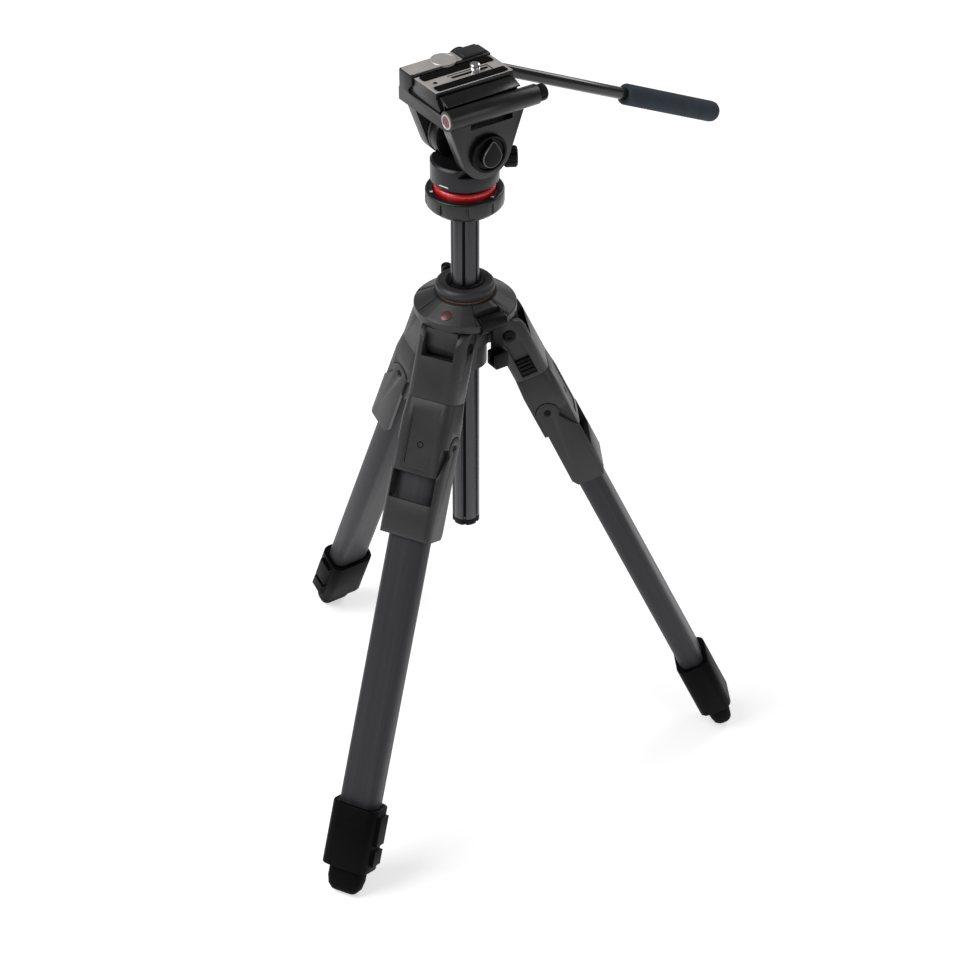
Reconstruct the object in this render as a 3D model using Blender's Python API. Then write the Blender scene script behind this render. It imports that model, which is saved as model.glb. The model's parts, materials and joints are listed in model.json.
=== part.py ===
"""Photo and video tripod with a fluid head and pan bar, as separate closed solids on real joints.

Run it with: blender --background --python part.py
Lengths are in metres. +Z is up, and the column stands on the Z axis until the last step, which
moves the origin to the middle of the bounding box's bottom face.
"""

import math

import bmesh
import bpy
from mathutils import Matrix, Vector

MM = 0.001
FIT = 0.3 * MM  # gap between pieces that touch
SLIDING_FIT = 0.5 * MM  # gap between sections that slide
ROUND = 28  # sides of a large round
SMALL_ROUND = 16  # sides of a small round

# ---- driving sizes
FOOT_CIRCLE_RADIUS = 260 * MM
LEG_SPREAD = math.radians(24.9)
TUBE_WIDTH = 38 * MM
TUBE_DEPTH = 24 * MM
COLUMN_RADIUS = 12.8 * MM
COLUMN_LENGTH = 332 * MM
COLUMN_EXPOSED = 74.7 * MM  # how far the column stands above its collar
HEAD_RADIUS = 30.5 * MM
TILT_HEIGHT = 69 * MM  # tilt axis above the top of the column
PLATE_LENGTH = 79 * MM
PLATE_TOP_HALF = 17 * MM
BAR_RADIUS = 5.7 * MM

# ---- legs
LEG_COUNT = 3
FRONT_LEG_AZIMUTH = math.radians(-90)
TUBE_CORNER = 8 * MM
TUBE_WALL = 1.5 * MM
SECTION_STEP = TUBE_WALL + SLIDING_FIT  # each inner section is smaller by this all round
CASTING_WALL = 4.5 * MM
CASTING_WIDTH = TUBE_WIDTH + 2 * CASTING_WALL
CASTING_DEPTH = TUBE_DEPTH + 2 * CASTING_WALL
CASTING_CORNER = 8 * MM
CASTING_BOTTOM = -50 * MM
CHEEK_RADIUS = CASTING_DEPTH / 2
HUB_RADIUS = COLUMN_RADIUS + 12.2 * MM
HINGE_RADIUS = HUB_RADIUS + CHEEK_RADIUS - 3.5 * MM
HINGE_HEIGHT = (FOOT_CIRCLE_RADIUS - HINGE_RADIUS) / math.tan(LEG_SPREAD)
LEG_LENGTH = (FOOT_CIRCLE_RADIUS - HINGE_RADIUS) / math.sin(LEG_SPREAD)
TONGUE_WIDTH = 30 * MM
TONGUE_RADIUS = 11.3 * MM
SLOT_BOTTOM = -(TONGUE_RADIUS + 0.7 * MM)
HINGE_PIN_RADIUS = 4 * MM
TUBE_TOP = -26 * MM

SHELL_TOP = CASTING_BOTTOM - FIT
SHELL_SHOULDER = -72 * MM
SHELL_BOTTOM = -118 * MM
SHELL_SWELL = 3 * MM
SHELL_WAIST = TUBE_WIDTH + 4 * MM
PAD_WIDTH = 25 * MM
PAD_TOP = -60 * MM
PAD_BOTTOM = -112 * MM
PAD_DEPTH = 0.8 * MM
PAD_CORNER = 4 * MM

LEVER_PIVOT_Y = -3 * MM
LEVER_PIVOT_Z = -91 * MM
LEVER_PIN_RADIUS = 3 * MM
LEVER_ARM_RADIUS = 10.8 * MM
LEVER_THICKNESS = 4.2 * MM
LEVER_OUTER_Y = TUBE_DEPTH / 2 + 6.5 * MM
LEVER_WALL = 5 * MM
LEVER_INNER_Y = -TUBE_DEPTH / 2 - 2 * MM
LEVER_BAND_TOP = -144 * MM
LEVER_BOTTOM = -178 * MM
LEVER_CORNER = 7 * MM

BUTTON_TOP = -8 * MM
BUTTON_BOTTOM = -46 * MM
BUTTON_WIDTH = 15 * MM
BUTTON_RECESS = 3.2 * MM
BUTTON_LENGTH = 17 * MM
BUTTON_THICKNESS = 2 * MM
BUTTON_RIDGES = 3

SHOE_LENGTH = 62 * MM
SHOE_SOCKET = 10 * MM
SHOE_WIDTH = CASTING_WIDTH
SHOE_DEPTH = CASTING_DEPTH
SHOE_CORNER = 9 * MM
SHOE_RIB = 3.5 * MM
FOOT_LENGTH = 27 * MM
FOOT_WALL = 2.4 * MM
FOOT_WIDTH = TUBE_WIDTH - 4 * SECTION_STEP + 2 * FOOT_WALL
FOOT_DEPTH = TUBE_DEPTH - 4 * SECTION_STEP + 2 * FOOT_WALL
FOOT_CORNER = 7 * MM
FOOT_SOCKET = 14 * MM
SHOE_BOTTOM = -(LEG_LENGTH - FOOT_LENGTH)
SHOE_TOP = SHOE_BOTTOM + SHOE_LENGTH
TUBE_BOTTOM = SHOE_TOP - SHOE_SOCKET

# ---- apex
HUB_DROP = TONGUE_RADIUS
SLEEVE_RADIUS = COLUMN_RADIUS + 6.7 * MM
SLEEVE_DROP = 38 * MM
TONGUE_REACH = HINGE_RADIUS + 8 * MM
TONGUE_SHOULDER = 9 * MM
CROWN_GAP = 2.2 * MM
CROWN_RADIUS = HINGE_RADIUS + 8.5 * MM
CROWN_SKIRT = 8 * MM
CROWN_HEIGHT = 17 * MM
CROWN_NECK = HUB_RADIUS + 4.5 * MM
CROWN_BOTTOM = HINGE_HEIGHT + CHEEK_RADIUS + CROWN_GAP
CROWN_TOP = CROWN_BOTTOM + CROWN_HEIGHT
COLLAR_RADIUS = COLUMN_RADIUS + 14 * MM
COLLAR_HEIGHT = 11 * MM
COLLAR_TOP = CROWN_TOP + FIT + COLLAR_HEIGHT
BUSH_RADIUS = COLUMN_RADIUS + 4.2 * MM
BUSH_RISE = 1.5 * MM
BUSH_DEPTH = 9 * MM
BUSH_SPLIT = 1.4 * MM
LEVEL_AZIMUTH = math.radians(143)
LEVEL_RADIUS = CROWN_RADIUS - 9 * MM
LEVEL_SIZE = 5 * MM
LEVEL_SEAT = 5 * MM
LEVEL_RISE = 8 * MM

COLUMN_LEVER_AZIMUTH = math.radians(-30)
COLUMN_LEVER_RADIUS = CROWN_RADIUS - 5.5 * MM
COLUMN_LEVER_HEIGHT = 4 * MM
CAM_RADIUS = 7.5 * MM
CAM_WIDTH = 26 * MM
CAM_PIN_RADIUS = 2 * MM
LEVER_ARM_OFFSET = -6 * MM
LEVER_ARM_WIDTH = 10 * MM
LEVER_ARM_THICKNESS = 4 * MM
LEVER_ARM_DROP = 43 * MM
LEVER_TAB_REACH = 13 * MM
LEVER_TAB_WIDTH = 14 * MM
LEVER_TAB_HEIGHT = 15 * MM

# ---- column
COLUMN_WALL = 2.8 * MM
COLUMN_GROOVES = 6
GROOVE_WIDTH = 3 * MM
GROOVE_DEPTH = 1.2 * MM
GROOVE_AZIMUTH = math.radians(-69)
COLUMN_TOP = COLLAR_TOP + COLUMN_EXPOSED
COLUMN_BOTTOM = COLUMN_TOP - COLUMN_LENGTH
END_CAP_HEIGHT = 6 * MM
PLUG_LENGTH = 14 * MM

# ---- head, heights above the top of the column
SIDE_AZIMUTH = math.radians(-30)  # the tilt axis points this way; the pan bar points 90 degrees on
CLAMP_PLATE_RADIUS = HEAD_RADIUS
CLAMP_PLATE_HEIGHT = 6.4 * MM
CLAMP_RING_RADIUS = HEAD_RADIUS + 4.5 * MM
CLAMP_RING_BOTTOM = 4 * MM
CLAMP_RING_TOP = 20 * MM
CLAMP_LIP = 2.8 * MM
CLAMP_LUGS = 9
CLAMP_LUG_WIDTH = 15 * MM
CLAMP_SLIT = 2.2 * MM
FLANGE_HEIGHT = 9.9 * MM
FLANGE_NECK_RADIUS = HEAD_RADIUS - 6.5 * MM
INDEX_RING_RADIUS = HEAD_RADIUS - 3 * MM
INDEX_RING_BOTTOM = 18.4 * MM
INDEX_RING_HEIGHT = 7.2 * MM
BODY_RADIUS = HEAD_RADIUS
BODY_BOTTOM = 30 * MM
BODY_TOP = 50 * MM
PAN_POST_RADIUS = 8 * MM
PAN_POST_HEIGHT = 15 * MM
BEARING_RADIUS = PAN_POST_RADIUS + 4 * MM
DRUM_RADIUS = 24 * MM
DRUM_START = -21 * MM
DRUM_WIDTH = 13 * MM
CORE_RADIUS = 14 * MM
NEAR_BOSS_RADIUS = 20 * MM
NEAR_BOSS_START = 10 * MM
NEAR_BOSS_END = 21 * MM
SHAFT_RADIUS = 6 * MM
CARTRIDGE_RADIUS = 17 * MM
PAN_LOCK_AZIMUTH = math.radians(60)
PAN_LOCK_HEIGHT = 48 * MM
PAN_LOCK_BOSS_RADIUS = 8 * MM
PAN_LOCK_BOSS_REACH = BODY_RADIUS + 3 * MM
PAN_LOCK_RADIUS = 9.5 * MM
PAN_LOCK_LENGTH = 12 * MM
KNOB_STUD_RADIUS = 3.5 * MM
KNOB_STUD_LENGTH = 10 * MM
KNOB_FLUTES = 8

# ---- tilting platform, measured from the tilt axis (x to the near side, y to the rear)
PLATE_CENTRE_X = -1 * MM
PLATE_FOOT_HALF = PLATE_TOP_HALF + 6.5 * MM
PLATE_LIP = 3 * MM
ARM_END_RADIUS = 25 * MM
NEAR_ARM_OUTER = 35 * MM
FAR_ARM_OUTER = -34 * MM
DECK_BOTTOM = 31 * MM
DECK_TOP = 43 * MM
DECK_REAR = PLATE_LENGTH / 2 + 1.5 * MM
DECK_FRONT = -DECK_REAR
ARM_TOP_HALF = DECK_REAR - 3 * MM
RAIL_WIDTH = 20.2 * MM
RAIL_TOP = 60.5 * MM
RAIL_INNER = PLATE_CENTRE_X - PLATE_TOP_HALF - 1.8 * MM
DECK_FAR = RAIL_INNER - RAIL_WIDTH
WINDOW_FRONT = -17 * MM
WINDOW_REAR = 26 * MM
WINDOW_BOTTOM = 25.5 * MM
BARREL_X = PLATE_CENTRE_X + PLATE_FOOT_HALF + 12 * MM
BARREL_Z = 41 * MM
BARREL_RADIUS = 9 * MM
BARREL_REAR = DECK_REAR + 9 * MM
PLATE_TOP = 59 * MM
PLATE_SLOPE = 7 * MM
PLATE_SLOT_WIDTH = 9.4 * MM
PLATE_SLOT_FRONT = -14 * MM
PLATE_SLOT_REAR = 27 * MM
PLATE_POCKET_WIDTH = 16 * MM
PLATE_POCKET_DEPTH = 5 * MM
PLATE_HOLE_RADIUS = 2 * MM
PLATE_HOLE_Y = -29 * MM
SCREW_RADIUS = 4.2 * MM
SCREW_HEAD_RADIUS = 7 * MM
SCREW_HEAD_HEIGHT = 3.4 * MM
SCREW_RISE = 7.5 * MM
SCREW_Y = 11.5 * MM
JAW_LENGTH = PLATE_LENGTH - 5 * MM
JAW_THICKNESS = 2 * MM
JAW_TRAVEL = 2 * MM
JAW_REACH = PLATE_CENTRE_X + PLATE_FOOT_HALF + 8 * MM
DISC_RADIUS = 9.3 * MM
DISC_X = RAIL_INNER - RAIL_WIDTH / 2
DISC_Y = -2 * MM
DISC_HEIGHT = 2.2 * MM
DISC_SEAT = 1 * MM
RELEASE_X = DISC_X
RELEASE_Y = 25 * MM
RELEASE_WIDTH = RAIL_WIDTH - 4.2 * MM
RELEASE_LENGTH = 22 * MM
RELEASE_RISE = 2.6 * MM
RELEASE_SEAT = 1.6 * MM
RELEASE_TRAVEL = 2 * MM
TILT_LOCK_RADIUS = 17.5 * MM
TILT_LOCK_DEPTH = 5 * MM
TILT_LOCK_GRIP = 4.5 * MM
TILT_LOCK_RIM = 3 * MM
PLATE_KNOB_RADIUS = 7.5 * MM
PLATE_KNOB_LENGTH = 9 * MM

# ---- pan bar
ROSETTE_Y = 30 * MM
ROSETTE_Z = 42.5 * MM
ROSETTE_RADIUS = BAR_RADIUS + 5.3 * MM
ROSETTE_BOSS = 3 * MM
BAR_DROP = math.radians(25)
BAR_CLAMP_WIDTH = 2 * BAR_RADIUS + 1.6 * MM
BAR_TAIL = 9 * MM
GRIP_START = 198 * MM
GRIP_LENGTH = 120 * MM
GRIP_RADIUS = BAR_RADIUS + 4.2 * MM
GRIP_OVERLAP = 80 * MM


# ---------------------------------------------------------------- shape helpers


def finish(bm, name):
    """Turn a bmesh into a mesh whose faces point outwards."""
    bmesh.ops.recalc_face_normals(bm, faces=bm.faces)
    mesh = bpy.data.meshes.new(name)
    bm.to_mesh(mesh)
    bm.free()
    return mesh


def rounded_rectangle(width, depth, radius, steps=3):
    """Points of a rectangle with round corners, centred on the origin."""
    points = []
    for quarter in range(4):
        start = quarter * math.pi / 2
        side_x = 1 if quarter in (0, 3) else -1
        side_y = 1 if quarter in (0, 1) else -1
        for step in range(steps + 1):
            angle = start + step / steps * math.pi / 2
            x = side_x * (width / 2 - radius) + radius * math.cos(angle)
            y = side_y * (depth / 2 - radius) + radius * math.sin(angle)
            points.append((x, y))
    return points


def loft(sections):
    """A solid through outlines of the same number of points, each at its own height."""
    bm = bmesh.new()
    outline, height = sections[0]
    verts = [bm.verts.new((x, y, height)) for x, y in outline]
    face = bm.faces.new(verts)
    for outline, height in sections[1:]:
        made = bmesh.ops.extrude_discrete_faces(bm, faces=[face])
        face = made["faces"][0]
        for vert, (x, y) in zip(face.verts, outline):
            vert.co = (x, y, height)
    bmesh.ops.holes_fill(bm, edges=bm.edges[:], sides=0)
    return finish(bm, "loft")


def prism(outline, low, high):
    """An outline in the XY plane, extruded from one height to another."""
    bm = bmesh.new()
    face = bm.faces.new([bm.verts.new((x, y, low)) for x, y in outline])
    made = bmesh.ops.extrude_face_region(bm, geom=[face])
    top = [item for item in made["geom"] if isinstance(item, bmesh.types.BMVert)]
    bmesh.ops.translate(bm, verts=top, vec=(0, 0, high - low))
    return finish(bm, "prism")


def side_prism(outline, low, high):
    """An outline in the YZ plane, extruded along X."""
    # (x, y, z) of the prism becomes (z, x, y)
    turn = Matrix(((0, 0, 1, 0), (1, 0, 0, 0), (0, 1, 0, 0), (0, 0, 0, 1)))
    return moved(prism(outline, low, high), turn)


def end_prism(outline, low, high):
    """An outline in the XZ plane, extruded along Y."""
    mesh = prism([(x, -z) for x, z in outline], low, high)
    return moved(mesh, Matrix.Rotation(math.radians(-90), 4, "X"))


def box(low, high, bevel=0.0):
    """A block between two corners, its edges bevelled if asked."""
    bm = bmesh.new()
    bmesh.ops.create_cube(bm, size=1)
    size = [b - a for a, b in zip(low, high)]
    middle = [(a + b) / 2 for a, b in zip(low, high)]
    bmesh.ops.scale(bm, verts=bm.verts, vec=size)
    bmesh.ops.translate(bm, verts=bm.verts, vec=middle)
    if bevel:
        edges = bm.edges[:]
        bmesh.ops.bevel(bm, geom=edges, offset=bevel, segments=2, profile=0.5, affect="EDGES", material=-1)
    return finish(bm, "box")


def turned(profile, sides=ROUND):
    """A (radius, height) profile spun about Z. Ends on the axis become flat faces."""
    on_axis = profile[0][0] == 0
    points = profile[1:-1] if on_axis else profile
    bm = bmesh.new()
    verts = [bm.verts.new((radius, 0, height)) for radius, height in points]
    edges = [bm.edges.new(pair) for pair in zip(verts, verts[1:])]
    if not on_axis:
        edges.append(bm.edges.new((verts[-1], verts[0])))
    bmesh.ops.spin(
        bm, geom=verts + edges, axis=(0, 0, 1), cent=(0, 0, 0), angle=2 * math.pi, steps=sides, use_merge=True
    )
    if on_axis:
        bmesh.ops.holes_fill(bm, edges=bm.edges[:], sides=0)
    return finish(bm, "turned")


def on_x_axis(mesh):
    """Lay a shape made about Z along X."""
    return moved(mesh, Matrix.Rotation(math.radians(90), 4, "Y"))


def rod(radius, low, high, axis="Z", centre=(0, 0), sides=SMALL_ROUND):
    """A cylinder along an axis. centre gives its place on the other two axes, in XYZ order."""
    mesh = turned([(0, low), (radius, low), (radius, high), (0, high)], sides)
    a, b = centre
    if axis == "X":
        return moved(on_x_axis(mesh), Matrix.Translation((0, a, b)))
    if axis == "Y":
        return moved(mesh, Matrix.Translation((a, 0, b)) @ Matrix.Rotation(math.radians(-90), 4, "X"))
    return moved(mesh, Matrix.Translation((a, b, 0)))


def ring(inner, outer, low, high, sides=ROUND):
    """A plain washer shape about Z."""
    return turned([(inner, low), (outer, low), (outer, high), (inner, high)], sides)


def moved(mesh, matrix):
    mesh.transform(matrix)
    return mesh


def combine(base, tool, operation):
    """Join, cut or intersect two closed meshes with the Boolean modifier."""
    objects = []
    for mesh in (base, tool):
        item = bpy.data.objects.new("work", mesh)
        bpy.context.scene.collection.objects.link(item)
        objects.append(item)
    modifier = objects[0].modifiers.new("Boolean", "BOOLEAN")
    modifier.operation = operation
    modifier.object = objects[1]
    bpy.context.view_layer.update()
    graph = bpy.context.evaluated_depsgraph_get()
    result = bpy.data.meshes.new_from_object(objects[0].evaluated_get(graph))
    for item in objects:
        bpy.data.objects.remove(item)
    return result


def union(base, *tools):
    for tool in tools:
        base = combine(base, tool, "UNION")
    return base


def cut(base, *tools):
    for tool in tools:
        base = combine(base, tool, "DIFFERENCE")
    return base


def common(base, tool):
    return combine(base, tool, "INTERSECT")


def tapered_arm(top_half, top, radius, sides=SMALL_ROUND):
    """YZ outline: a straight top edge, and sides that run tangent to a round end on the origin."""
    distance = math.hypot(top_half, top)
    tangent = math.atan2(top, top_half) - math.acos(radius / distance)
    points = [(top_half, top), (-top_half, top)]
    start = math.pi - tangent
    sweep = math.pi + 2 * tangent
    for step in range(sides + 1):
        angle = start + sweep * step / sides
        points.append((radius * math.cos(angle), radius * math.sin(angle)))
    return points


# ---------------------------------------------------------------- scene helpers


def clear_scene():
    for item in list(bpy.data.objects):
        bpy.data.objects.remove(item, do_unlink=True)


def colour_of(hex_code):
    """A linear RGBA colour from an sRGB hex code."""
    channels = []
    for place in (0, 2, 4):
        value = int(hex_code[place : place + 2], 16) / 255
        channels.append(value / 12.92 if value <= 0.04045 else ((value + 0.055) / 1.055) ** 2.4)
    return (*channels, 1.0)


def material(name, hex_code, roughness, metallic):
    made = bpy.data.materials.new(name)
    made.use_nodes = True
    shader = made.node_tree.nodes["Principled BSDF"]
    shader.inputs["Base Color"].default_value = colour_of(hex_code)
    shader.inputs["Roughness"].default_value = roughness
    shader.inputs["Metallic"].default_value = metallic
    made.diffuse_color = colour_of(hex_code)
    return made


def frame(name, parent=None, location=(0, 0, 0), rotation=(0, 0, 0)):
    """An empty that carries pieces. On a moving body it stands on the joint's axis."""
    empty = bpy.data.objects.new(name, None)
    empty.empty_display_size = 10 * MM
    empty.location = location
    empty.rotation_euler = rotation
    empty.parent = parent
    bpy.context.scene.collection.objects.link(empty)
    return empty


def piece(name, mesh, finish_name, parent, smooth_round=False):
    """Put a mesh in the scene as one named sub-part with its own material."""
    mesh = mesh.copy()
    mesh.name = name
    mesh.materials.clear()
    mesh.materials.append(material(name, *FINISHES[finish_name]))
    item = bpy.data.objects.new(name, mesh)
    item.parent = parent
    bpy.context.scene.collection.objects.link(item)
    if smooth_round:
        mesh.shade_smooth()
        mesh.set_sharp_from_angle(angle=math.radians(35))
    return item


FINISHES = {
    "cast grey": ("343436", 0.55, 0.2),
    "dark plastic": ("1e1e20", 0.5, 0.0),
    "black rubber": ("0e0e0f", 0.8, 0.0),
    "grey tube": ("3e3e43", 0.42, 0.6),
    "inner tube": ("5a5a5e", 0.35, 0.8),
    "steel": ("b9bcc0", 0.25, 1.0),
    "red": ("a3161c", 0.35, 0.1),
    "light grey": ("a8a5a3", 0.45, 0.3),
    "black gloss": ("121214", 0.2, 0.3),
    "bronze": ("8a6a45", 0.4, 0.9),
    "blue grey foam": ("2a3038", 0.9, 0.0),
}


# ---------------------------------------------------------------- one leg, in its hinge's frame


def tube_outline(shrink=0.0):
    """Outline of the leg section, made smaller by the same amount all round."""
    return rounded_rectangle(TUBE_WIDTH - 2 * shrink, TUBE_DEPTH - 2 * shrink, TUBE_CORNER - shrink)


def tube_between(shrink, bottom, top):
    outer = prism(tube_outline(shrink), bottom, top)
    inner = prism(tube_outline(shrink + TUBE_WALL), bottom - MM, top + MM)
    return cut(outer, inner)


def leg_casting_mesh():
    """Upper casting: two cheeks round the apex tongue, a socket for the tube and a button recess."""
    outline = [(-CHEEK_RADIUS, CASTING_BOTTOM), (CHEEK_RADIUS, CASTING_BOTTOM)]
    for step in range(17):
        angle = step * math.pi / 16
        outline.append((CHEEK_RADIUS * math.cos(angle), CHEEK_RADIUS * math.sin(angle)))
    side = side_prism(outline, -CASTING_WIDTH, CASTING_WIDTH)
    section = rounded_rectangle(CASTING_WIDTH, CASTING_DEPTH + 0.1 * MM, CASTING_CORNER)
    body = common(side, prism(section, CASTING_BOTTOM - MM, CASTING_DEPTH))
    half_slot = TONGUE_WIDTH / 2 + SLIDING_FIT
    slot = box((-half_slot, -CASTING_DEPTH, SLOT_BOTTOM), (half_slot, CASTING_DEPTH, CASTING_DEPTH))
    bore = rod(HINGE_PIN_RADIUS + FIT, -CASTING_WIDTH, CASTING_WIDTH, "X")
    socket = prism(tube_outline(-FIT), CASTING_BOTTOM - MM, TUBE_TOP + FIT)
    recess = box(
        (CASTING_WIDTH / 2 - BUTTON_RECESS, -BUTTON_WIDTH / 2, BUTTON_BOTTOM),
        (CASTING_WIDTH, BUTTON_WIDTH / 2, BUTTON_TOP),
    )
    return cut(body, slot, bore, socket, recess)


def leg_button_mesh():
    """Sliding angle catch in the casting's recess, with three grip ridges."""
    floor = CASTING_WIDTH / 2 - BUTTON_RECESS + FIT
    half = BUTTON_WIDTH / 2 - FIT
    low = BUTTON_BOTTOM + FIT
    block = box((floor, -half, low), (floor + BUTTON_THICKNESS, half, low + BUTTON_LENGTH))
    for count in range(BUTTON_RIDGES):
        height = low + (count + 1) * BUTTON_LENGTH / (BUTTON_RIDGES + 1)
        ridge_low = (floor + MM, -half + MM, height - MM)
        ridge_high = (floor + BUTTON_THICKNESS + 1.4 * MM, half - MM, height + MM)
        block = union(block, box(ridge_low, ridge_high))
    return block


def leg_shell_mesh():
    """Lower shell round the top of the tube, with a shallow inset pad and two lever pivots."""
    narrow = rounded_rectangle(CASTING_WIDTH, CASTING_DEPTH, CASTING_CORNER)
    wide = rounded_rectangle(CASTING_WIDTH + SHELL_SWELL, CASTING_DEPTH + SHELL_SWELL, CASTING_CORNER)
    sections = [(narrow, SHELL_TOP), (wide, SHELL_SHOULDER), (wide, SHELL_BOTTOM)]
    shell = cut(loft(sections), prism(tube_outline(-FIT), SHELL_BOTTOM - MM, SHELL_TOP + MM))
    reach = CASTING_WIDTH
    pocket = [(-reach, SHELL_BOTTOM - MM), (reach, SHELL_BOTTOM - MM), (reach, LEVER_PIVOT_Z)]
    round_top = LEVER_ARM_RADIUS + SLIDING_FIT
    for step in range(13):
        angle = step * math.pi / 12
        y = LEVER_PIVOT_Y + round_top * math.cos(angle)
        pocket.append((y, LEVER_PIVOT_Z + round_top * math.sin(angle)))
    pocket.append((-reach, LEVER_PIVOT_Z))
    for side in (-1, 1):
        x_low, x_high = sorted((side * SHELL_WAIST / 2, side * reach))
        shell = cut(shell, side_prism(pocket, x_low, x_high))
        x_low, x_high = sorted((side * (SHELL_WAIST / 2 - MM), side * (SHELL_WAIST / 2 + LEVER_THICKNESS)))
        shell = union(shell, rod(LEVER_PIN_RADIUS, x_low, x_high, "X", (LEVER_PIVOT_Y, LEVER_PIVOT_Z)))
    front = (CASTING_DEPTH + SHELL_SWELL) / 2
    pad_middle = (PAD_TOP + PAD_BOTTOM) / 2
    outline = rounded_rectangle(PAD_WIDTH, PAD_TOP - PAD_BOTTOM, PAD_CORNER)
    pad = [(x, z + pad_middle) for x, z in outline]
    return cut(shell, end_prism(pad, front - PAD_DEPTH, front + SHELL_SWELL))


def leg_lever_mesh():
    """U-shaped release lever: two arms from the pivots to a band across the front of the tube."""
    half = SHELL_WAIST / 2 + FIT
    outer = half + LEVER_THICKNESS
    outline = []
    for step in range(9):
        angle = math.radians(200 - step * 30)
        y = LEVER_PIVOT_Y + LEVER_ARM_RADIUS * math.cos(angle)
        z = LEVER_PIVOT_Z + LEVER_ARM_RADIUS * math.sin(angle)
        outline.append((y, z))
    outline += [
        (LEVER_OUTER_Y, LEVER_PIVOT_Z - 30 * MM),
        (LEVER_OUTER_Y, LEVER_BOTTOM + 5 * MM),
        (LEVER_OUTER_Y - 3 * MM, LEVER_BOTTOM),
        (LEVER_INNER_Y + 4 * MM, LEVER_BOTTOM),
        (LEVER_INNER_Y, LEVER_BOTTOM + 6 * MM),
    ]
    body = side_prism(outline, -outer, outer)
    rounding = prism(rounded_rectangle(2 * outer, 2 * LEVER_OUTER_Y, LEVER_CORNER, 4), LEVER_BOTTOM - MM, 0)
    body = common(body, rounding)
    inside = box(
        (-half, -2 * LEVER_OUTER_Y, LEVER_BOTTOM - MM),
        (half, LEVER_OUTER_Y - LEVER_WALL, 0),
    )
    window = box((-half, -LEVER_OUTER_Y, LEVER_BAND_TOP), (half, 2 * LEVER_OUTER_Y, 0))
    bore = rod(LEVER_PIN_RADIUS + FIT, -2 * outer, 2 * outer, "X", (LEVER_PIVOT_Y, LEVER_PIVOT_Z))
    return cut(body, inside, window, bore)


def leg_shoe_mesh():
    """Lower casting at the end of the outer tube. The inner sections slide through it."""
    body = prism(rounded_rectangle(SHOE_WIDTH, SHOE_DEPTH, SHOE_CORNER), SHOE_BOTTOM, SHOE_TOP)
    # two ribs down one edge, as shares of the casting's length
    for low, high in ((0.12, 0.36), (0.44, 0.9)):
        rib = box(
            (-SHOE_WIDTH / 2 - SHOE_RIB, -SHOE_DEPTH / 4, SHOE_BOTTOM + low * SHOE_LENGTH),
            (-SHOE_WIDTH / 2 + SHOE_CORNER, SHOE_DEPTH / 4, SHOE_BOTTOM + high * SHOE_LENGTH),
        )
        body = union(body, rib)
    socket = prism(tube_outline(-FIT), TUBE_BOTTOM - FIT, SHOE_TOP + MM)
    bore = prism(tube_outline(SECTION_STEP - SLIDING_FIT), SHOE_BOTTOM - MM, SHOE_TOP)
    return cut(body, socket, bore)


def leg_foot_mesh():
    """Rubber foot with a socket for the innermost section and a rounded tip."""
    top = SHOE_BOTTOM - FIT
    tip = -LEG_LENGTH
    # share of the width, share of the depth, and height, from the top down
    sizes = (
        (1, 1, top),
        (1, 1, tip + 14 * MM),
        (0.9, 0.88, tip + 6 * MM),
        (0.7, 0.6, tip + 1.6 * MM),
        (0.4, 0.25, tip),
    )
    sections = []
    for width, depth, height in sizes:
        corner = FOOT_CORNER * min(width, depth)
        sections.append((rounded_rectangle(FOOT_WIDTH * width, FOOT_DEPTH * depth, corner), height))
    socket = prism(tube_outline(2 * SECTION_STEP - FIT), top - FOOT_SOCKET - FIT, top + MM)
    return cut(loft(sections), socket)


def leg_meshes():
    """The meshes of one leg, keyed by the last part of each node's name."""
    mid_bottom = SHOE_BOTTOM + 4 * MM
    inner_bottom = SHOE_BOTTOM - FIT - FOOT_SOCKET
    return {
        "casting": leg_casting_mesh(),
        "hinge_pin": rod(HINGE_PIN_RADIUS, -CASTING_WIDTH / 2 + FIT, CASTING_WIDTH / 2 - FIT, "X"),
        "angle_button": leg_button_mesh(),
        "lever_housing": leg_shell_mesh(),
        "release_lever": leg_lever_mesh(),
        "outer_tube": tube_between(0, TUBE_BOTTOM, TUBE_TOP),
        "lower_casting": leg_shoe_mesh(),
        "mid_tube": tube_between(SECTION_STEP, mid_bottom, TUBE_TOP - 14 * MM),
        "inner_tube": tube_between(2 * SECTION_STEP, inner_bottom, TUBE_TOP - 20 * MM),
        "foot": leg_foot_mesh(),
    }


LEG_FINISHES = {
    "casting": "cast grey",
    "hinge_pin": "steel",
    "angle_button": "dark plastic",
    "lever_housing": "cast grey",
    "release_lever": "cast grey",
    "outer_tube": "grey tube",
    "lower_casting": "dark plastic",
    "mid_tube": "inner tube",
    "inner_tube": "inner tube",
    "foot": "black rubber",
}


def build_legs(root):
    """Three legs alike, each on its own hinge frame."""
    meshes = leg_meshes()
    for count, side in enumerate(("front", "right", "left")):
        azimuth = FRONT_LEG_AZIMUTH + count * 2 * math.pi / LEG_COUNT
        plane = frame(f"plane_{side}", root, rotation=(0, 0, azimuth - math.pi / 2))
        hinge = frame(f"hinge_{side}", plane, (0, HINGE_RADIUS, HINGE_HEIGHT), (LEG_SPREAD, 0, 0))
        pivot = frame(f"lever_pivot_{side}", hinge, (0, LEVER_PIVOT_Y, LEVER_PIVOT_Z))
        for name, mesh in meshes.items():
            item = piece(f"leg_{side}_{name}", mesh, LEG_FINISHES[name], hinge, smooth_round=True)
            if name == "release_lever":
                item.parent = pivot
                item.data.transform(Matrix.Translation((0, -LEVER_PIVOT_Y, -LEVER_PIVOT_Z)))


# ---------------------------------------------------------------- apex


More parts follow.
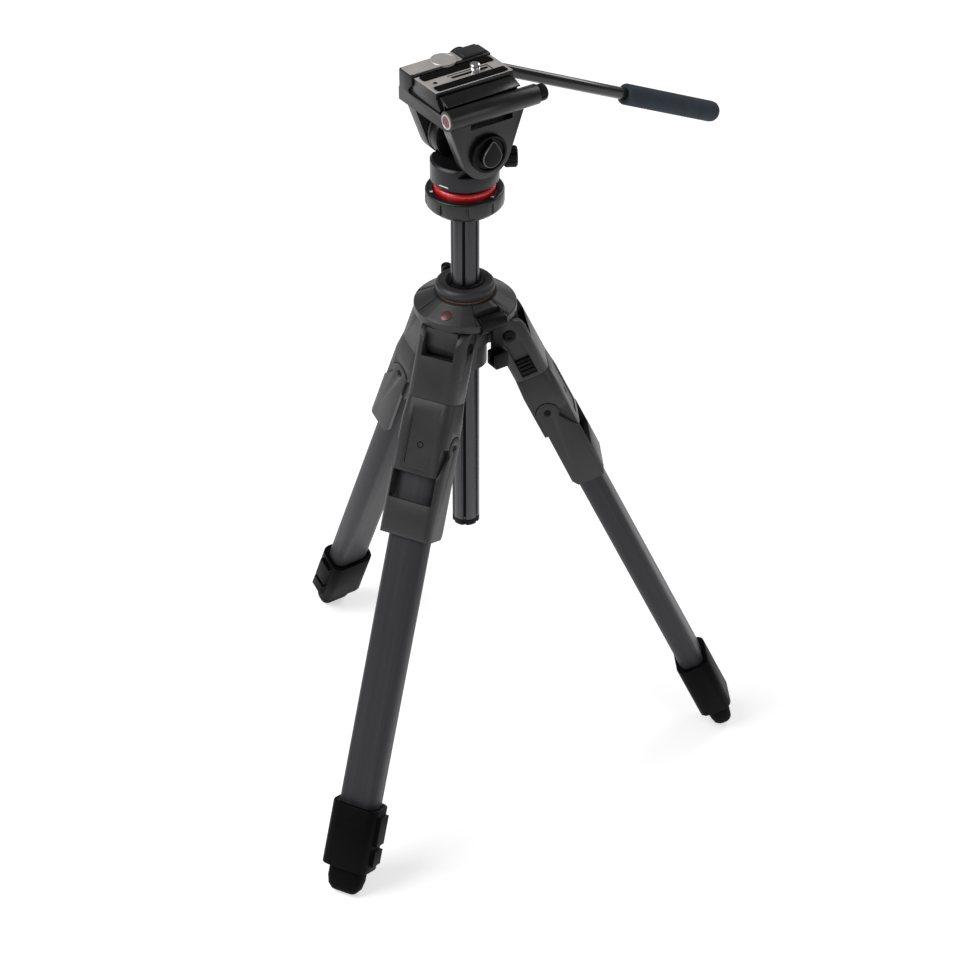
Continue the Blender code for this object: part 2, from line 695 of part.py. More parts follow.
def tongue_mesh():
    """One lug of the apex, in the plane of a leg: Y is outwards, with a round end on the hinge."""
    outline = []
    for step in range(10):
        angle = math.radians(-90 + step * 12)
        y = HINGE_RADIUS + TONGUE_RADIUS * math.cos(angle)
        z = HINGE_HEIGHT + TONGUE_RADIUS * math.sin(angle)
        outline.append((min(y, TONGUE_REACH + 2 * MM), z))
    top = CROWN_BOTTOM - FIT
    outline += [(TONGUE_REACH, HINGE_HEIGHT + TONGUE_SHOULDER), (TONGUE_REACH, top), (COLUMN_RADIUS, top)]
    outline.append((COLUMN_RADIUS, HINGE_HEIGHT - TONGUE_RADIUS))
    return side_prism(outline, -TONGUE_WIDTH / 2, TONGUE_WIDTH / 2)


def apex_casting_mesh():
    """Hub with a long sleeve round the column and a tongue for each leg."""
    base = HINGE_HEIGHT - HUB_DROP
    sleeve_bottom = HINGE_HEIGHT - SLEEVE_DROP
    body = turned(
        [
            (0, sleeve_bottom),
            (SLEEVE_RADIUS, sleeve_bottom),
            (SLEEVE_RADIUS, base),
            (HUB_RADIUS, base),
            (HUB_RADIUS, CROWN_TOP),
            (0, CROWN_TOP),
        ]
    )
    bores = []
    for count in range(LEG_COUNT):
        turn = Matrix.Rotation(FRONT_LEG_AZIMUTH + count * 2 * math.pi / LEG_COUNT - math.pi / 2, 4, "Z")
        body = union(body, moved(tongue_mesh(), turn))
        bore = rod(HINGE_PIN_RADIUS + FIT, -TONGUE_WIDTH, TONGUE_WIDTH, "X", (HINGE_RADIUS, HINGE_HEIGHT))
        bores.append(moved(bore, turn))
    shaft = rod(COLUMN_RADIUS + SLIDING_FIT, sleeve_bottom - MM, CROWN_TOP + MM, sides=ROUND)
    return cut(body, shaft, *bores)


def lever_turn():
    """Turns a shape made with Y outwards to the column lever's side of the apex."""
    return Matrix.Rotation(COLUMN_LEVER_AZIMUTH - math.pi / 2, 4, "Z")


def apex_crown_mesh():
    """Cover with a vertical skirt and a sloping top, cut open for the column lever."""
    bore = HUB_RADIUS + FIT
    body = turned(
        [
            (bore, CROWN_BOTTOM),
            (CROWN_RADIUS, CROWN_BOTTOM),
            (CROWN_RADIUS, CROWN_BOTTOM + CROWN_SKIRT - 1.5 * MM),
            (CROWN_RADIUS - 1.5 * MM, CROWN_BOTTOM + CROWN_SKIRT),
            (CROWN_NECK, CROWN_TOP - MM),
            (CROWN_NECK - MM, CROWN_TOP),
            (bore, CROWN_TOP),
        ],
        sides=42,
    )
    inner = COLUMN_LEVER_RADIUS - CAM_RADIUS - FIT
    half = CAM_WIDTH / 2 + FIT
    opening = box((-half, inner, CROWN_BOTTOM - MM), (half, 2 * CROWN_RADIUS, CROWN_TOP + MM))
    height = CROWN_BOTTOM + COLUMN_LEVER_HEIGHT
    pin = rod(CAM_PIN_RADIUS + FIT, -half - 4 * MM, half + 4 * MM, "X", (COLUMN_LEVER_RADIUS, height))
    seat = rod(LEVEL_SIZE + FIT, CROWN_BOTTOM + LEVEL_SEAT, CROWN_TOP + MM)
    place = (LEVEL_RADIUS * math.cos(LEVEL_AZIMUTH), LEVEL_RADIUS * math.sin(LEVEL_AZIMUTH), 0)
    seat = moved(seat, Matrix.Translation(place))
    return cut(body, moved(opening, lever_turn()), moved(pin, lever_turn()), seat)


def apex_level_mesh():
    """Small round spirit level standing in the crown."""
    low = CROWN_BOTTOM + LEVEL_SEAT + FIT
    high = CROWN_TOP + LEVEL_RISE
    wall = [(LEVEL_SIZE, low), (LEVEL_SIZE, high - 2 * MM), (LEVEL_SIZE * 0.7, high - 0.6 * MM)]
    bulb = turned([(0, low)] + wall + [(0, high)], SMALL_ROUND)
    place = (LEVEL_RADIUS * math.cos(LEVEL_AZIMUTH), LEVEL_RADIUS * math.sin(LEVEL_AZIMUTH), 0)
    return moved(bulb, Matrix.Translation(place))


def collar_mesh():
    """Ring nut on the crown, with a stepped foot and a recess for the split bush."""
    low = CROWN_TOP + FIT
    seat = COLLAR_TOP - BUSH_DEPTH
    return turned(
        [
            (COLUMN_RADIUS + SLIDING_FIT, low),
            (COLLAR_RADIUS - 2 * MM, low),
            (COLLAR_RADIUS - 2 * MM, low + 2 * MM),
            (COLLAR_RADIUS, low + 3 * MM),
            (COLLAR_RADIUS, COLLAR_TOP - 2.5 * MM),
            (COLLAR_RADIUS - 2.5 * MM, COLLAR_TOP),
            (BUSH_RADIUS + FIT, COLLAR_TOP),
            (BUSH_RADIUS + FIT, seat),
            (COLUMN_RADIUS + SLIDING_FIT, seat),
        ]
    )


def bush_mesh():
    """Split bush that grips the column."""
    low = COLLAR_TOP - BUSH_DEPTH + FIT
    body = ring(COLUMN_RADIUS + FIT, BUSH_RADIUS, low, COLLAR_TOP + BUSH_RISE)
    split = box((-BUSH_SPLIT / 2, 0, low - MM), (BUSH_SPLIT / 2, 2 * BUSH_RADIUS, COLLAR_TOP + 2 * BUSH_RISE))
    return cut(body, moved(split, Matrix.Rotation(SIDE_AZIMUTH - math.pi, 4, "Z")))


def column_lever_mesh():
    """Cam barrel with an arm that hangs down and a tab bent outwards. Its frame is on the pin."""
    cam = rod(CAM_RADIUS, -CAM_WIDTH / 2, CAM_WIDTH / 2, "X", sides=20)
    low = LEVER_ARM_OFFSET - LEVER_ARM_WIDTH / 2
    high = LEVER_ARM_OFFSET + LEVER_ARM_WIDTH / 2
    half = LEVER_ARM_THICKNESS / 2
    arm = box((low, -half, -LEVER_ARM_DROP), (high, half, 0))
    tab = box(
        (low, -half, -LEVER_ARM_DROP),
        (low + LEVER_TAB_WIDTH, LEVER_TAB_REACH, -LEVER_ARM_DROP + LEVER_TAB_HEIGHT),
        bevel=1.5 * MM,
    )
    pocket = box(
        (low + 3 * MM, half, -LEVER_ARM_DROP + 3 * MM),
        (low + LEVER_TAB_WIDTH + MM, LEVER_TAB_REACH - 3 * MM, -LEVER_ARM_DROP + LEVER_TAB_HEIGHT + MM),
    )
    bore = rod(CAM_PIN_RADIUS + FIT, -CAM_WIDTH, CAM_WIDTH, "X")
    return cut(union(cam, arm, tab), pocket, bore)


def build_apex(root):
    piece("apex_casting", apex_casting_mesh(), "cast grey", root, smooth_round=True)
    piece("apex_crown", apex_crown_mesh(), "cast grey", root, smooth_round=True)
    piece("apex_level", apex_level_mesh(), "light grey", root, smooth_round=True)
    piece("column_collar", collar_mesh(), "cast grey", root, smooth_round=True)
    piece("column_bush", bush_mesh(), "dark plastic", root, smooth_round=True)
    side = frame("column_lever_side", root, rotation=(0, 0, COLUMN_LEVER_AZIMUTH - math.pi / 2))
    pin = frame("column_lever_axis", side, (0, COLUMN_LEVER_RADIUS, CROWN_BOTTOM + COLUMN_LEVER_HEIGHT))
    piece("column_lever", column_lever_mesh(), "dark plastic", pin, smooth_round=True)
    reach = CAM_WIDTH / 2 + 3.5 * MM
    piece("column_lever_pin", rod(CAM_PIN_RADIUS, -reach, reach, "X"), "steel", pin, smooth_round=True)


# ---------------------------------------------------------------- column


def column_outline():
    """Round section with evenly spaced lengthwise grooves."""
    points = []
    pitch = 2 * math.pi / COLUMN_GROOVES
    half = GROOVE_WIDTH / 2 / COLUMN_RADIUS
    floor = COLUMN_RADIUS - GROOVE_DEPTH
    for count in range(COLUMN_GROOVES):
        middle = GROOVE_AZIMUTH + count * pitch
        for radius, angle in ((COLUMN_RADIUS, -half), (floor, -0.7 * half), (floor, 0.7 * half)):
            points.append((radius * math.cos(middle + angle), radius * math.sin(middle + angle)))
        for step in range(4):
            angle = middle + half + step / 4 * (pitch - 2 * half)
            points.append((COLUMN_RADIUS * math.cos(angle), COLUMN_RADIUS * math.sin(angle)))
    return points


def column_mesh():
    outer = prism(column_outline(), COLUMN_BOTTOM, COLUMN_TOP)
    inner = rod(COLUMN_RADIUS - COLUMN_WALL, COLUMN_BOTTOM - MM, COLUMN_TOP + MM, sides=ROUND)
    return cut(outer, inner)


def end_cap_mesh():
    """Cap under the column with a plug inside it."""
    top = COLUMN_BOTTOM - FIT
    cap = prism(column_outline(), top - END_CAP_HEIGHT, top)
    plug = rod(COLUMN_RADIUS - COLUMN_WALL - FIT, top - MM, top + PLUG_LENGTH, sides=ROUND)
    return union(cap, plug)


def build_column(root):
    column = frame("column_slide", root)
    piece("column_tube", column_mesh(), "grey tube", column, smooth_round=True)
    piece("column_end_cap", end_cap_mesh(), "dark plastic", column, smooth_round=True)
    return column


# ---------------------------------------------------------------- head, fixed and panning pieces


def clamp_plate_mesh():
    """Plate on top of the column, with a plug inside it."""
    plug_radius = COLUMN_RADIUS - COLUMN_WALL - FIT
    return turned(
        [
            (0, -PLUG_LENGTH),
            (plug_radius, -PLUG_LENGTH),
            (plug_radius, FIT),
            (CLAMP_PLATE_RADIUS - 2 * MM, FIT),
            (CLAMP_PLATE_RADIUS, FIT + 2 * MM),
            (CLAMP_PLATE_RADIUS, FIT + CLAMP_PLATE_HEIGHT),
            (0, FIT + CLAMP_PLATE_HEIGHT),
        ]
    )


def clamp_ring_mesh():
    """Turning ring that holds the head's flange, with a lip on top and grip lugs round it."""
    inner = CLAMP_PLATE_RADIUS + SLIDING_FIT
    lip = INDEX_RING_RADIUS + 0.7 * MM
    low = CLAMP_RING_BOTTOM
    body = turned(
        [
            (inner, low),
            (CLAMP_RING_RADIUS - 2 * MM, low),
            (CLAMP_RING_RADIUS, low + 3 * MM),
            (CLAMP_RING_RADIUS, CLAMP_RING_TOP - 1.2 * MM),
            (CLAMP_RING_RADIUS - 1.2 * MM, CLAMP_RING_TOP),
            (lip, CLAMP_RING_TOP),
            (lip, CLAMP_RING_TOP - CLAMP_LIP),
            (inner, CLAMP_RING_TOP - CLAMP_LIP),
        ],
        sides=36,
    )
    for count in range(CLAMP_LUGS):
        slit = box(
            (-CLAMP_SLIT / 2, CLAMP_RING_RADIUS - 1.4 * MM, low - MM),
            (CLAMP_SLIT / 2, 2 * CLAMP_RING_RADIUS, CLAMP_RING_TOP - 3.5 * MM),
        )
        body = cut(body, moved(slit, Matrix.Rotation(count * 2 * math.pi / CLAMP_LUGS, 4, "Z")))
    return body


def flange_mesh():
    """The head's fixed foot: flange under the ring's lip, neck and the post it pans on."""
    low = 2 * FIT + CLAMP_PLATE_HEIGHT
    top = BODY_BOTTOM - FIT
    return turned(
        [
            (0, low),
            (CLAMP_PLATE_RADIUS, low),
            (CLAMP_PLATE_RADIUS, low + FLANGE_HEIGHT),
            (FLANGE_NECK_RADIUS, low + FLANGE_HEIGHT),
            (FLANGE_NECK_RADIUS, top),
            (PAN_POST_RADIUS, top),
            (PAN_POST_RADIUS, top + PAN_POST_HEIGHT),
            (0, top + PAN_POST_HEIGHT),
        ]
    )


def index_ring_mesh():
    top = INDEX_RING_BOTTOM + INDEX_RING_HEIGHT
    return turned(
        [
            (FLANGE_NECK_RADIUS + FIT, INDEX_RING_BOTTOM),
            (INDEX_RING_RADIUS, INDEX_RING_BOTTOM),
            (INDEX_RING_RADIUS, top - 1.5 * MM),
            (INDEX_RING_RADIUS - 1.5 * MM, top),
            (FLANGE_NECK_RADIUS + FIT, top),
        ]
    )


def head_body_mesh():
    """Panning base with the fixed drums that the platform's arms turn on."""
    base = turned(
        [
            (0, BODY_BOTTOM),
            (BODY_RADIUS, BODY_BOTTOM),
            (BODY_RADIUS, BODY_TOP - 2 * MM),
            (BODY_RADIUS - 2 * MM, BODY_TOP),
            (0, BODY_TOP),
        ]
    )
    axis = (0, TILT_HEIGHT)
    drums = turned(
        [
            (0, DRUM_START),
            (DRUM_RADIUS, DRUM_START),
            (DRUM_RADIUS, DRUM_START + DRUM_WIDTH),
            (CORE_RADIUS, DRUM_START + DRUM_WIDTH),
            (CORE_RADIUS, NEAR_BOSS_START),
            (NEAR_BOSS_RADIUS, NEAR_BOSS_START),
            (NEAR_BOSS_RADIUS, NEAR_BOSS_END),
            (0, NEAR_BOSS_END),
        ]
    )
    drums = moved(on_x_axis(drums), Matrix.Translation((0, 0, TILT_HEIGHT)))
    across = Matrix.Rotation(PAN_LOCK_AZIMUTH, 4, "Z")
    boss = rod(PAN_LOCK_BOSS_RADIUS, 0, PAN_LOCK_BOSS_REACH, "X", (0, PAN_LOCK_HEIGHT))
    swept = ARM_END_RADIUS + SLIDING_FIT
    far_side = DRUM_START - FIT / 2
    near_side = NEAR_BOSS_END + FIT / 2
    for low, high in ((far_side - 2 * BODY_RADIUS, far_side), (near_side, near_side + 2 * BODY_RADIUS)):
        shelf = box((low, -2 * BODY_RADIUS, TILT_HEIGHT - swept), (high, 2 * BODY_RADIUS, 2 * TILT_HEIGHT))
        base = cut(base, shelf)
    body = union(base, drums, moved(boss, across))
    well = rod(BEARING_RADIUS + FIT, BODY_BOTTOM - MM, BODY_BOTTOM + PAN_POST_HEIGHT + MM, sides=ROUND)
    shaft = rod(SHAFT_RADIUS + FIT, -2 * BODY_RADIUS, 2 * BODY_RADIUS, "X", axis)
    pocket = rod(CARTRIDGE_RADIUS + FIT, DRUM_START - MM, DRUM_START + DRUM_WIDTH - MM, "X", axis, ROUND)
    stud_start = PAN_LOCK_BOSS_REACH - KNOB_STUD_LENGTH
    stud = rod(KNOB_STUD_RADIUS + FIT, stud_start, 2 * BODY_RADIUS, "X", (0, PAN_LOCK_HEIGHT))
    return cut(body, well, shaft, pocket, moved(stud, across))


def cartridge_mesh():
    """Counterbalance spring can, in the far drum and round the tilt shaft."""
    low = DRUM_START + FIT
    high = DRUM_START + DRUM_WIDTH - MM - FIT
    can = ring(SHAFT_RADIUS + FIT, CARTRIDGE_RADIUS, low, high)
    return moved(on_x_axis(can), Matrix.Translation((0, 0, TILT_HEIGHT)))


def fluted_knob(radius, low, high, stud_low):
    """A knob along Z with a fluted rim and a stud behind it."""
    chamfer = 1.5 * MM
    knob = turned(
        [
            (0, stud_low),
            (KNOB_STUD_RADIUS, stud_low),
            (KNOB_STUD_RADIUS, low),
            (radius - chamfer, low),
            (radius, low + chamfer),
            (radius, high - chamfer),
            (radius - chamfer, high),
            (0, high),
        ],
        24,
    )
    for count in range(KNOB_FLUTES):
        angle = count * 2 * math.pi / KNOB_FLUTES
        place = (1.12 * radius * math.cos(angle), 1.12 * radius * math.sin(angle))
        knob = cut(knob, rod(0.22 * radius, low - MM, high + MM, "Z", place, 10))
    return knob


def build_head(column):
    """Clamp, flange, panning body and what they carry. Returns the tilt frame."""
    head = frame("head_foot", column, (0, 0, COLUMN_TOP), (0, 0, SIDE_AZIMUTH))
    piece("head_clamp_plate", clamp_plate_mesh(), "dark plastic", head, smooth_round=True)
    turning = frame("clamp_ring_axis", head)
    piece("head_clamp_ring", clamp_ring_mesh(), "cast grey", turning, smooth_round=True)
    piece("head_flange", flange_mesh(), "dark plastic", head, smooth_round=True)
    piece("pan_index_ring", index_ring_mesh(), "red", head, smooth_round=True)
    pan = frame("pan_axis", head)
    piece("head_body", head_body_mesh(), "cast grey", pan, smooth_round=True)
    bearing = ring(PAN_POST_RADIUS + FIT, BEARING_RADIUS, BODY_BOTTOM + FIT, BODY_BOTTOM + PAN_POST_HEIGHT)
    piece("pan_bearing", bearing, "bronze", pan, smooth_round=True)
    piece("counterbalance_cartridge", cartridge_mesh(), "steel", pan, smooth_round=True)
    across = frame("pan_lock_side", pan, rotation=(0, 0, PAN_LOCK_AZIMUTH))
    knob_start = PAN_LOCK_BOSS_REACH + FIT
    lock = frame("pan_lock_axis", across, (knob_start, 0, PAN_LOCK_HEIGHT), (0, math.radians(90), 0))
    knob = fluted_knob(PAN_LOCK_RADIUS, 0, PAN_LOCK_LENGTH, FIT - KNOB_STUD_LENGTH)
    piece("pan_lock_knob", knob, "dark plastic", lock, smooth_round=True)
    return frame("tilt_axis", pan, (0, 0, TILT_HEIGHT))


# ---------------------------------------------------------------- head, tilting pieces


def plate_section(grow=0.0):
    """XZ section of the quick-release plate: a wedge foot that narrows to the top slab."""
    foot = PLATE_FOOT_HALF + grow
    top = PLATE_TOP_HALF + grow
    low = DECK_TOP + FIT - grow
    lip = DECK_TOP + FIT + PLATE_LIP
    shoulder = lip + PLATE_SLOPE
    high = PLATE_TOP + 10 * grow
    right = [(foot - 1.5 * MM, low), (foot, low + 1.5 * MM), (foot, lip), (top, shoulder), (top, high)]
    left = [(-x, z) for x, z in reversed(right)]
    return [(x + PLATE_CENTRE_X, z) for x, z in right + left]


def platform_mesh():
    """Deck, far rail, near barrel and the two arms, with the channels for the plate and its jaw."""
    deck = box((DECK_FAR, DECK_FRONT, DECK_BOTTOM), (BARREL_X, DECK_REAR, DECK_TOP))
    rail = box((DECK_FAR, DECK_FRONT, DECK_BOTTOM + MM), (RAIL_INNER, DECK_REAR, RAIL_TOP), bevel=1.5 * MM)
    barrel = rod(BARREL_RADIUS, DECK_FRONT, BARREL_REAR, "Y", (BARREL_X, BARREL_Z), ROUND)
    arm = tapered_arm(ARM_TOP_HALF, DECK_BOTTOM + MM, ARM_END_RADIUS)
    near_inner = NEAR_BOSS_END + 2 * FIT
    far_inner = DRUM_START - 2 * FIT
    near_arm = side_prism(arm, near_inner, NEAR_ARM_OUTER)
    far_arm = side_prism(arm, FAR_ARM_OUTER, far_inner)
    rosette = rod(ROSETTE_RADIUS, DECK_FAR - ROSETTE_BOSS, DECK_FAR + MM, "X", (ROSETTE_Y, ROSETTE_Z), 24)
    body = union(deck, rail, barrel, near_arm, far_arm, rosette)
    channel = end_prism(plate_section(FIT), DECK_FRONT - MM, DECK_REAR + MM)
    jaw_outer = PLATE_CENTRE_X + PLATE_FOOT_HALF + 2 * FIT + JAW_THICKNESS
    jaw_channel = box(
        (PLATE_CENTRE_X + PLATE_TOP_HALF, -JAW_LENGTH / 2 - FIT, DECK_TOP),
        (jaw_outer + JAW_TRAVEL + FIT, JAW_LENGTH / 2 + FIT, RAIL_TOP),
    )
    window_low = (near_inner - MM, WINDOW_FRONT, WINDOW_BOTTOM)
    window = box(window_low, (NEAR_ARM_OUTER + MM, WINDOW_REAR, DECK_BOTTOM))
    shaft = rod(SHAFT_RADIUS + FIT, FAR_ARM_OUTER + 3 * MM, 2 * NEAR_ARM_OUTER, "X")
    bore_start = BARREL_REAR - KNOB_STUD_LENGTH
    bore = rod(KNOB_STUD_RADIUS + FIT, bore_start, 2 * BARREL_REAR, "Y", (BARREL_X, BARREL_Z))
    seat = rod(DISC_RADIUS + FIT, RAIL_TOP - DISC_SEAT, 2 * RAIL_TOP, "Z", (DISC_X, DISC_Y), 24)
    half_width = RELEASE_WIDTH / 2 + FIT
    half_length = RELEASE_LENGTH / 2 + FIT
    well = box(
        (RELEASE_X - half_width, RELEASE_Y - half_length, RAIL_TOP - RELEASE_SEAT - RELEASE_TRAVEL - FIT),
        (RELEASE_X + half_width, RELEASE_Y + half_length, 2 * RAIL_TOP),
    )
    return cut(body, channel, jaw_channel, window, shaft, bore, seat, well)


def quick_plate_mesh():
    """Camera plate with a long slot for its screw and a pin hole."""
    half = PLATE_LENGTH / 2
    body = end_prism(plate_section(), -half, half)
    slot_half = PLATE_SLOT_WIDTH / 2
    x = PLATE_CENTRE_X
    slot = box((x - slot_half, PLATE_SLOT_FRONT, 0), (x + slot_half, PLATE_SLOT_REAR, 2 * PLATE_TOP))
    reach = (PLATE_POCKET_WIDTH - PLATE_SLOT_WIDTH) / 2
    pocket = box(
        (x - slot_half - reach, PLATE_SLOT_FRONT - reach, 0),
        (x + slot_half + reach, PLATE_SLOT_REAR + reach, DECK_TOP + FIT + PLATE_POCKET_DEPTH),
    )
    hole = rod(PLATE_HOLE_RADIUS, 0, 2 * PLATE_TOP, "Z", (x, PLATE_HOLE_Y), 12)
    return cut(body, slot, pocket, hole)


def camera_screw_mesh():
    """Camera screw with a round dome end and a wide head in the plate's pocket."""
    low = DECK_TOP + 4 * FIT
    neck = low + SCREW_HEAD_HEIGHT
    top = PLATE_TOP + SCREW_RISE
    return turned(
        [
            (0, low),
            (SCREW_HEAD_RADIUS, low),
            (SCREW_HEAD_RADIUS, neck),
            (SCREW_RADIUS, neck),
            (SCREW_RADIUS, top - 1.5 * MM),
            (SCREW_RADIUS - 1.5 * MM, top),
            (0, top),
        ],
        20,
    )


def jaw_mesh():
    """Sliding jaw: a wedge that presses on the plate's slope and a ledge over the barrel."""
    foot = PLATE_CENTRE_X + PLATE_FOOT_HALF + 2 * FIT
    edge = PLATE_CENTRE_X + PLATE_TOP_HALF + 2 * FIT
    low = DECK_TOP + FIT
    lip = DECK_TOP + FIT + PLATE_LIP
    shoulder = lip + PLATE_SLOPE
    ledge = BARREL_Z + BARREL_RADIUS + FIT
    outline = [
        (foot, low),
        (foot + JAW_THICKNESS, low),
        (foot + JAW_THICKNESS, ledge),
        (JAW_REACH, ledge),
        (JAW_REACH, ledge + 1.2 * MM),
        (edge + 2.5 * MM, shoulder + 2.2 * MM),
        (edge, shoulder + 1.4 * MM),
        (edge, shoulder),
        (foot, lip),
    ]
    return end_prism(outline, -JAW_LENGTH / 2, JAW_LENGTH / 2)


def tilt_lock_mesh():
    """Dished knob with a teardrop grip. Z is the tilt axis, away from the arm, and -X is up."""
    rim = TILT_LOCK_RADIUS
    dish = turned(
        [
            (0, -4 * MM),
            (SHAFT_RADIUS - MM, -4 * MM),
            (SHAFT_RADIUS - MM, 0),
            (rim - MM, 0),
            (rim, MM),
            (rim, TILT_LOCK_DEPTH - MM),
            (rim - MM, TILT_LOCK_DEPTH),
            (rim - TILT_LOCK_RIM, TILT_LOCK_DEPTH),
            (rim - TILT_LOCK_RIM - 1.5 * MM, TILT_LOCK_DEPTH - 2.5 * MM),
            (0, TILT_LOCK_DEPTH - 2.5 * MM),
        ]
    )
    hub = 0.52 * rim
    tip = 0.9 * rim
    outline = []
    for step in range(13):
        angle = math.radians(-120 + step * 20)
        outline.append((hub * math.cos(angle) + 0.15 * rim, hub * math.sin(angle)))
    outline += [(-0.5 * tip, 0.42 * hub), (-tip, 0.2 * hub), (-tip, -0.2 * hub), (-0.5 * tip, -0.42 * hub)]
    grip = prism(outline, 0.5 * MM, TILT_LOCK_DEPTH + TILT_LOCK_GRIP)
    return union(dish, grip)


def level_disc_mesh():
    low = RAIL_TOP - DISC_SEAT + FIT
    high = low + DISC_HEIGHT
    chamfer = 0.6 * MM
    rim = [(DISC_RADIUS, low), (DISC_RADIUS, high - chamfer), (DISC_RADIUS - chamfer, high)]
    return turned([(0, low)] + rim + [(0, high)])


def release_button_mesh():
    """Plate release: a chamfered block that sinks into its well in the rail."""
    low = (-RELEASE_WIDTH / 2, -RELEASE_LENGTH / 2, RAIL_TOP - RELEASE_SEAT)
    high = (RELEASE_WIDTH / 2, RELEASE_LENGTH / 2, RAIL_TOP + RELEASE_RISE)
    return box(low, high, bevel=1.3 * MM)


def bar_clamp_mesh():
    """Round clamp on the platform's rosette, bored for the bar. X is the joint's axis, Y the bar."""
    body = rod(ROSETTE_RADIUS, -BAR_CLAMP_WIDTH / 2, BAR_CLAMP_WIDTH / 2, "X", sides=24)
    nose = rod(BAR_RADIUS + 2.4 * MM, 0, ROSETTE_RADIUS + 6 * MM, "Y", sides=20)
    nose = common(nose, box((-BAR_CLAMP_WIDTH / 2,) * 3, (BAR_CLAMP_WIDTH / 2, 40 * MM, BAR_CLAMP_WIDTH)))
    bore = rod(BAR_RADIUS + FIT, -BAR_TAIL - FIT, 60 * MM, "Y")
    return cut(union(body, nose), bore)


def bar_grip_mesh():
    """Foam grip over the bar's end, closed and rounded at the tip."""
    start = GRIP_START
    end = GRIP_START + GRIP_LENGTH
    profile = [
        (GRIP_RADIUS - 1.5 * MM, start),
        (GRIP_RADIUS, start + 2 * MM),
        (GRIP_RADIUS, end - 6 * MM),
        (GRIP_RADIUS * 0.86, end - 2 * MM),
        (GRIP_RADIUS * 0.5, end),
        (0, end),
    ]
    solid = turned([(0, start)] + profile, 24)
    bore = rod(BAR_RADIUS + FIT, start - MM, start + GRIP_OVERLAP + FIT)
    return moved(cut(solid, bore), Matrix.Rotation(math.radians(-90), 4, "X"))


def build_platform(tilt):
    """Everything that tilts."""
    piece("tilt_platform", platform_mesh(), "cast grey", tilt, smooth_round=True)
    shaft = rod(SHAFT_RADIUS, FAR_ARM_OUTER + 3 * MM + FIT, NEAR_ARM_OUTER - 5 * MM, "X")
    piece("tilt_shaft", shaft, "steel", tilt, smooth_round=True)
    knob = frame("tilt_lock_axis", tilt, (NEAR_ARM_OUTER + FIT, 0, 0), (0, math.radians(90), 0))
    piece("tilt_lock_knob", tilt_lock_mesh(), "dark plastic", knob, smooth_round=True)
    plate = frame("plate_slide", tilt)
    piece("quick_release_plate", quick_plate_mesh(), "black gloss", plate, smooth_round=True)
    screw = frame("camera_screw_axis", plate, (PLATE_CENTRE_X, SCREW_Y, 0))
    piece("camera_screw", camera_screw_mesh(), "steel", screw, smooth_round=True)
    jaw = frame("jaw_slide", tilt)
    piece("plate_jaw", jaw_mesh(), "dark plastic", jaw, smooth_round=True)
    rear = frame("plate_knob_axis", tilt, (BARREL_X, BARREL_REAR + FIT, BARREL_Z), (math.radians(-90), 0, 0))
    turn_knob = fluted_knob(PLATE_KNOB_RADIUS, 0, PLATE_KNOB_LENGTH, FIT - KNOB_STUD_LENGTH)
    piece("plate_lock_knob", turn_knob, "dark plastic", rear, smooth_round=True)
    disc = frame("level_disc_seat", tilt, (DISC_X, DISC_Y, 0))
    piece("head_level_disc", level_disc_mesh(), "light grey", disc, smooth_round=True)
    button = frame("release_button_slide", tilt, (RELEASE_X, RELEASE_Y, 0))
    piece("plate_release_button", release_button_mesh(), "dark plastic", button)


def build_pan_bar(tilt):
    """Pan bar on the rosette, its joint across the head."""
    x = DECK_FAR - ROSETTE_BOSS - FIT - BAR_CLAMP_WIDTH / 2
    joint = frame("pan_bar_axis", tilt, (x, ROSETTE_Y, ROSETTE_Z), (-BAR_DROP, 0, 0))
    piece("pan_bar_clamp", bar_clamp_mesh(), "dark plastic", joint, smooth_round=True)
    bar = rod(BAR_RADIUS, -BAR_TAIL, GRIP_START + GRIP_OVERLAP, "Y", sides=20)
    piece("pan_bar", bar, "black gloss", joint, smooth_round=True)
    piece("pan_bar_grip", bar_grip_mesh(), "blue grey foam", joint, smooth_round=True)


# ---------------------------------------------------------------- whole object


def centre_on_floor(root):
    """Move the root so that the bounding box stands on Z = 0, centred on the origin."""
    bpy.context.view_layer.update()
    low = Vector((math.inf,) * 3)
    high = Vector((-math.inf,) * 3)
    for item in bpy.context.scene.objects:
        if item.type != "MESH":
            continue
        for vert in item.data.vertices:
            place = item.matrix_world @ vert.co
            low = Vector(map(min, low, place))
            high = Vector(map(max, high, place))
    root.location = (-(low.x + high.x) / 2, -(low.y + high.y) / 2, -low.z)
    bpy.context.view_layer.update()


def main():
    clear_scene()
    root = frame("tripod")
    build_legs(root)
    build_apex(root)
    column = build_column(root)
    tilt = build_head(column)
    build_platform(tilt)
    build_pan_bar(tilt)
    centre_on_floor(root)


main()
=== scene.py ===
"""Looks of a folding tripod with a fluid video head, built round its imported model.

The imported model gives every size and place. Each of its solids is either shown with its edges
rounded and a finish of its own, or stands inside a fuller piece. Lengths here are in metres.
"""

import json
import math

import bmesh
import bpy
from mathutils import Matrix, Vector

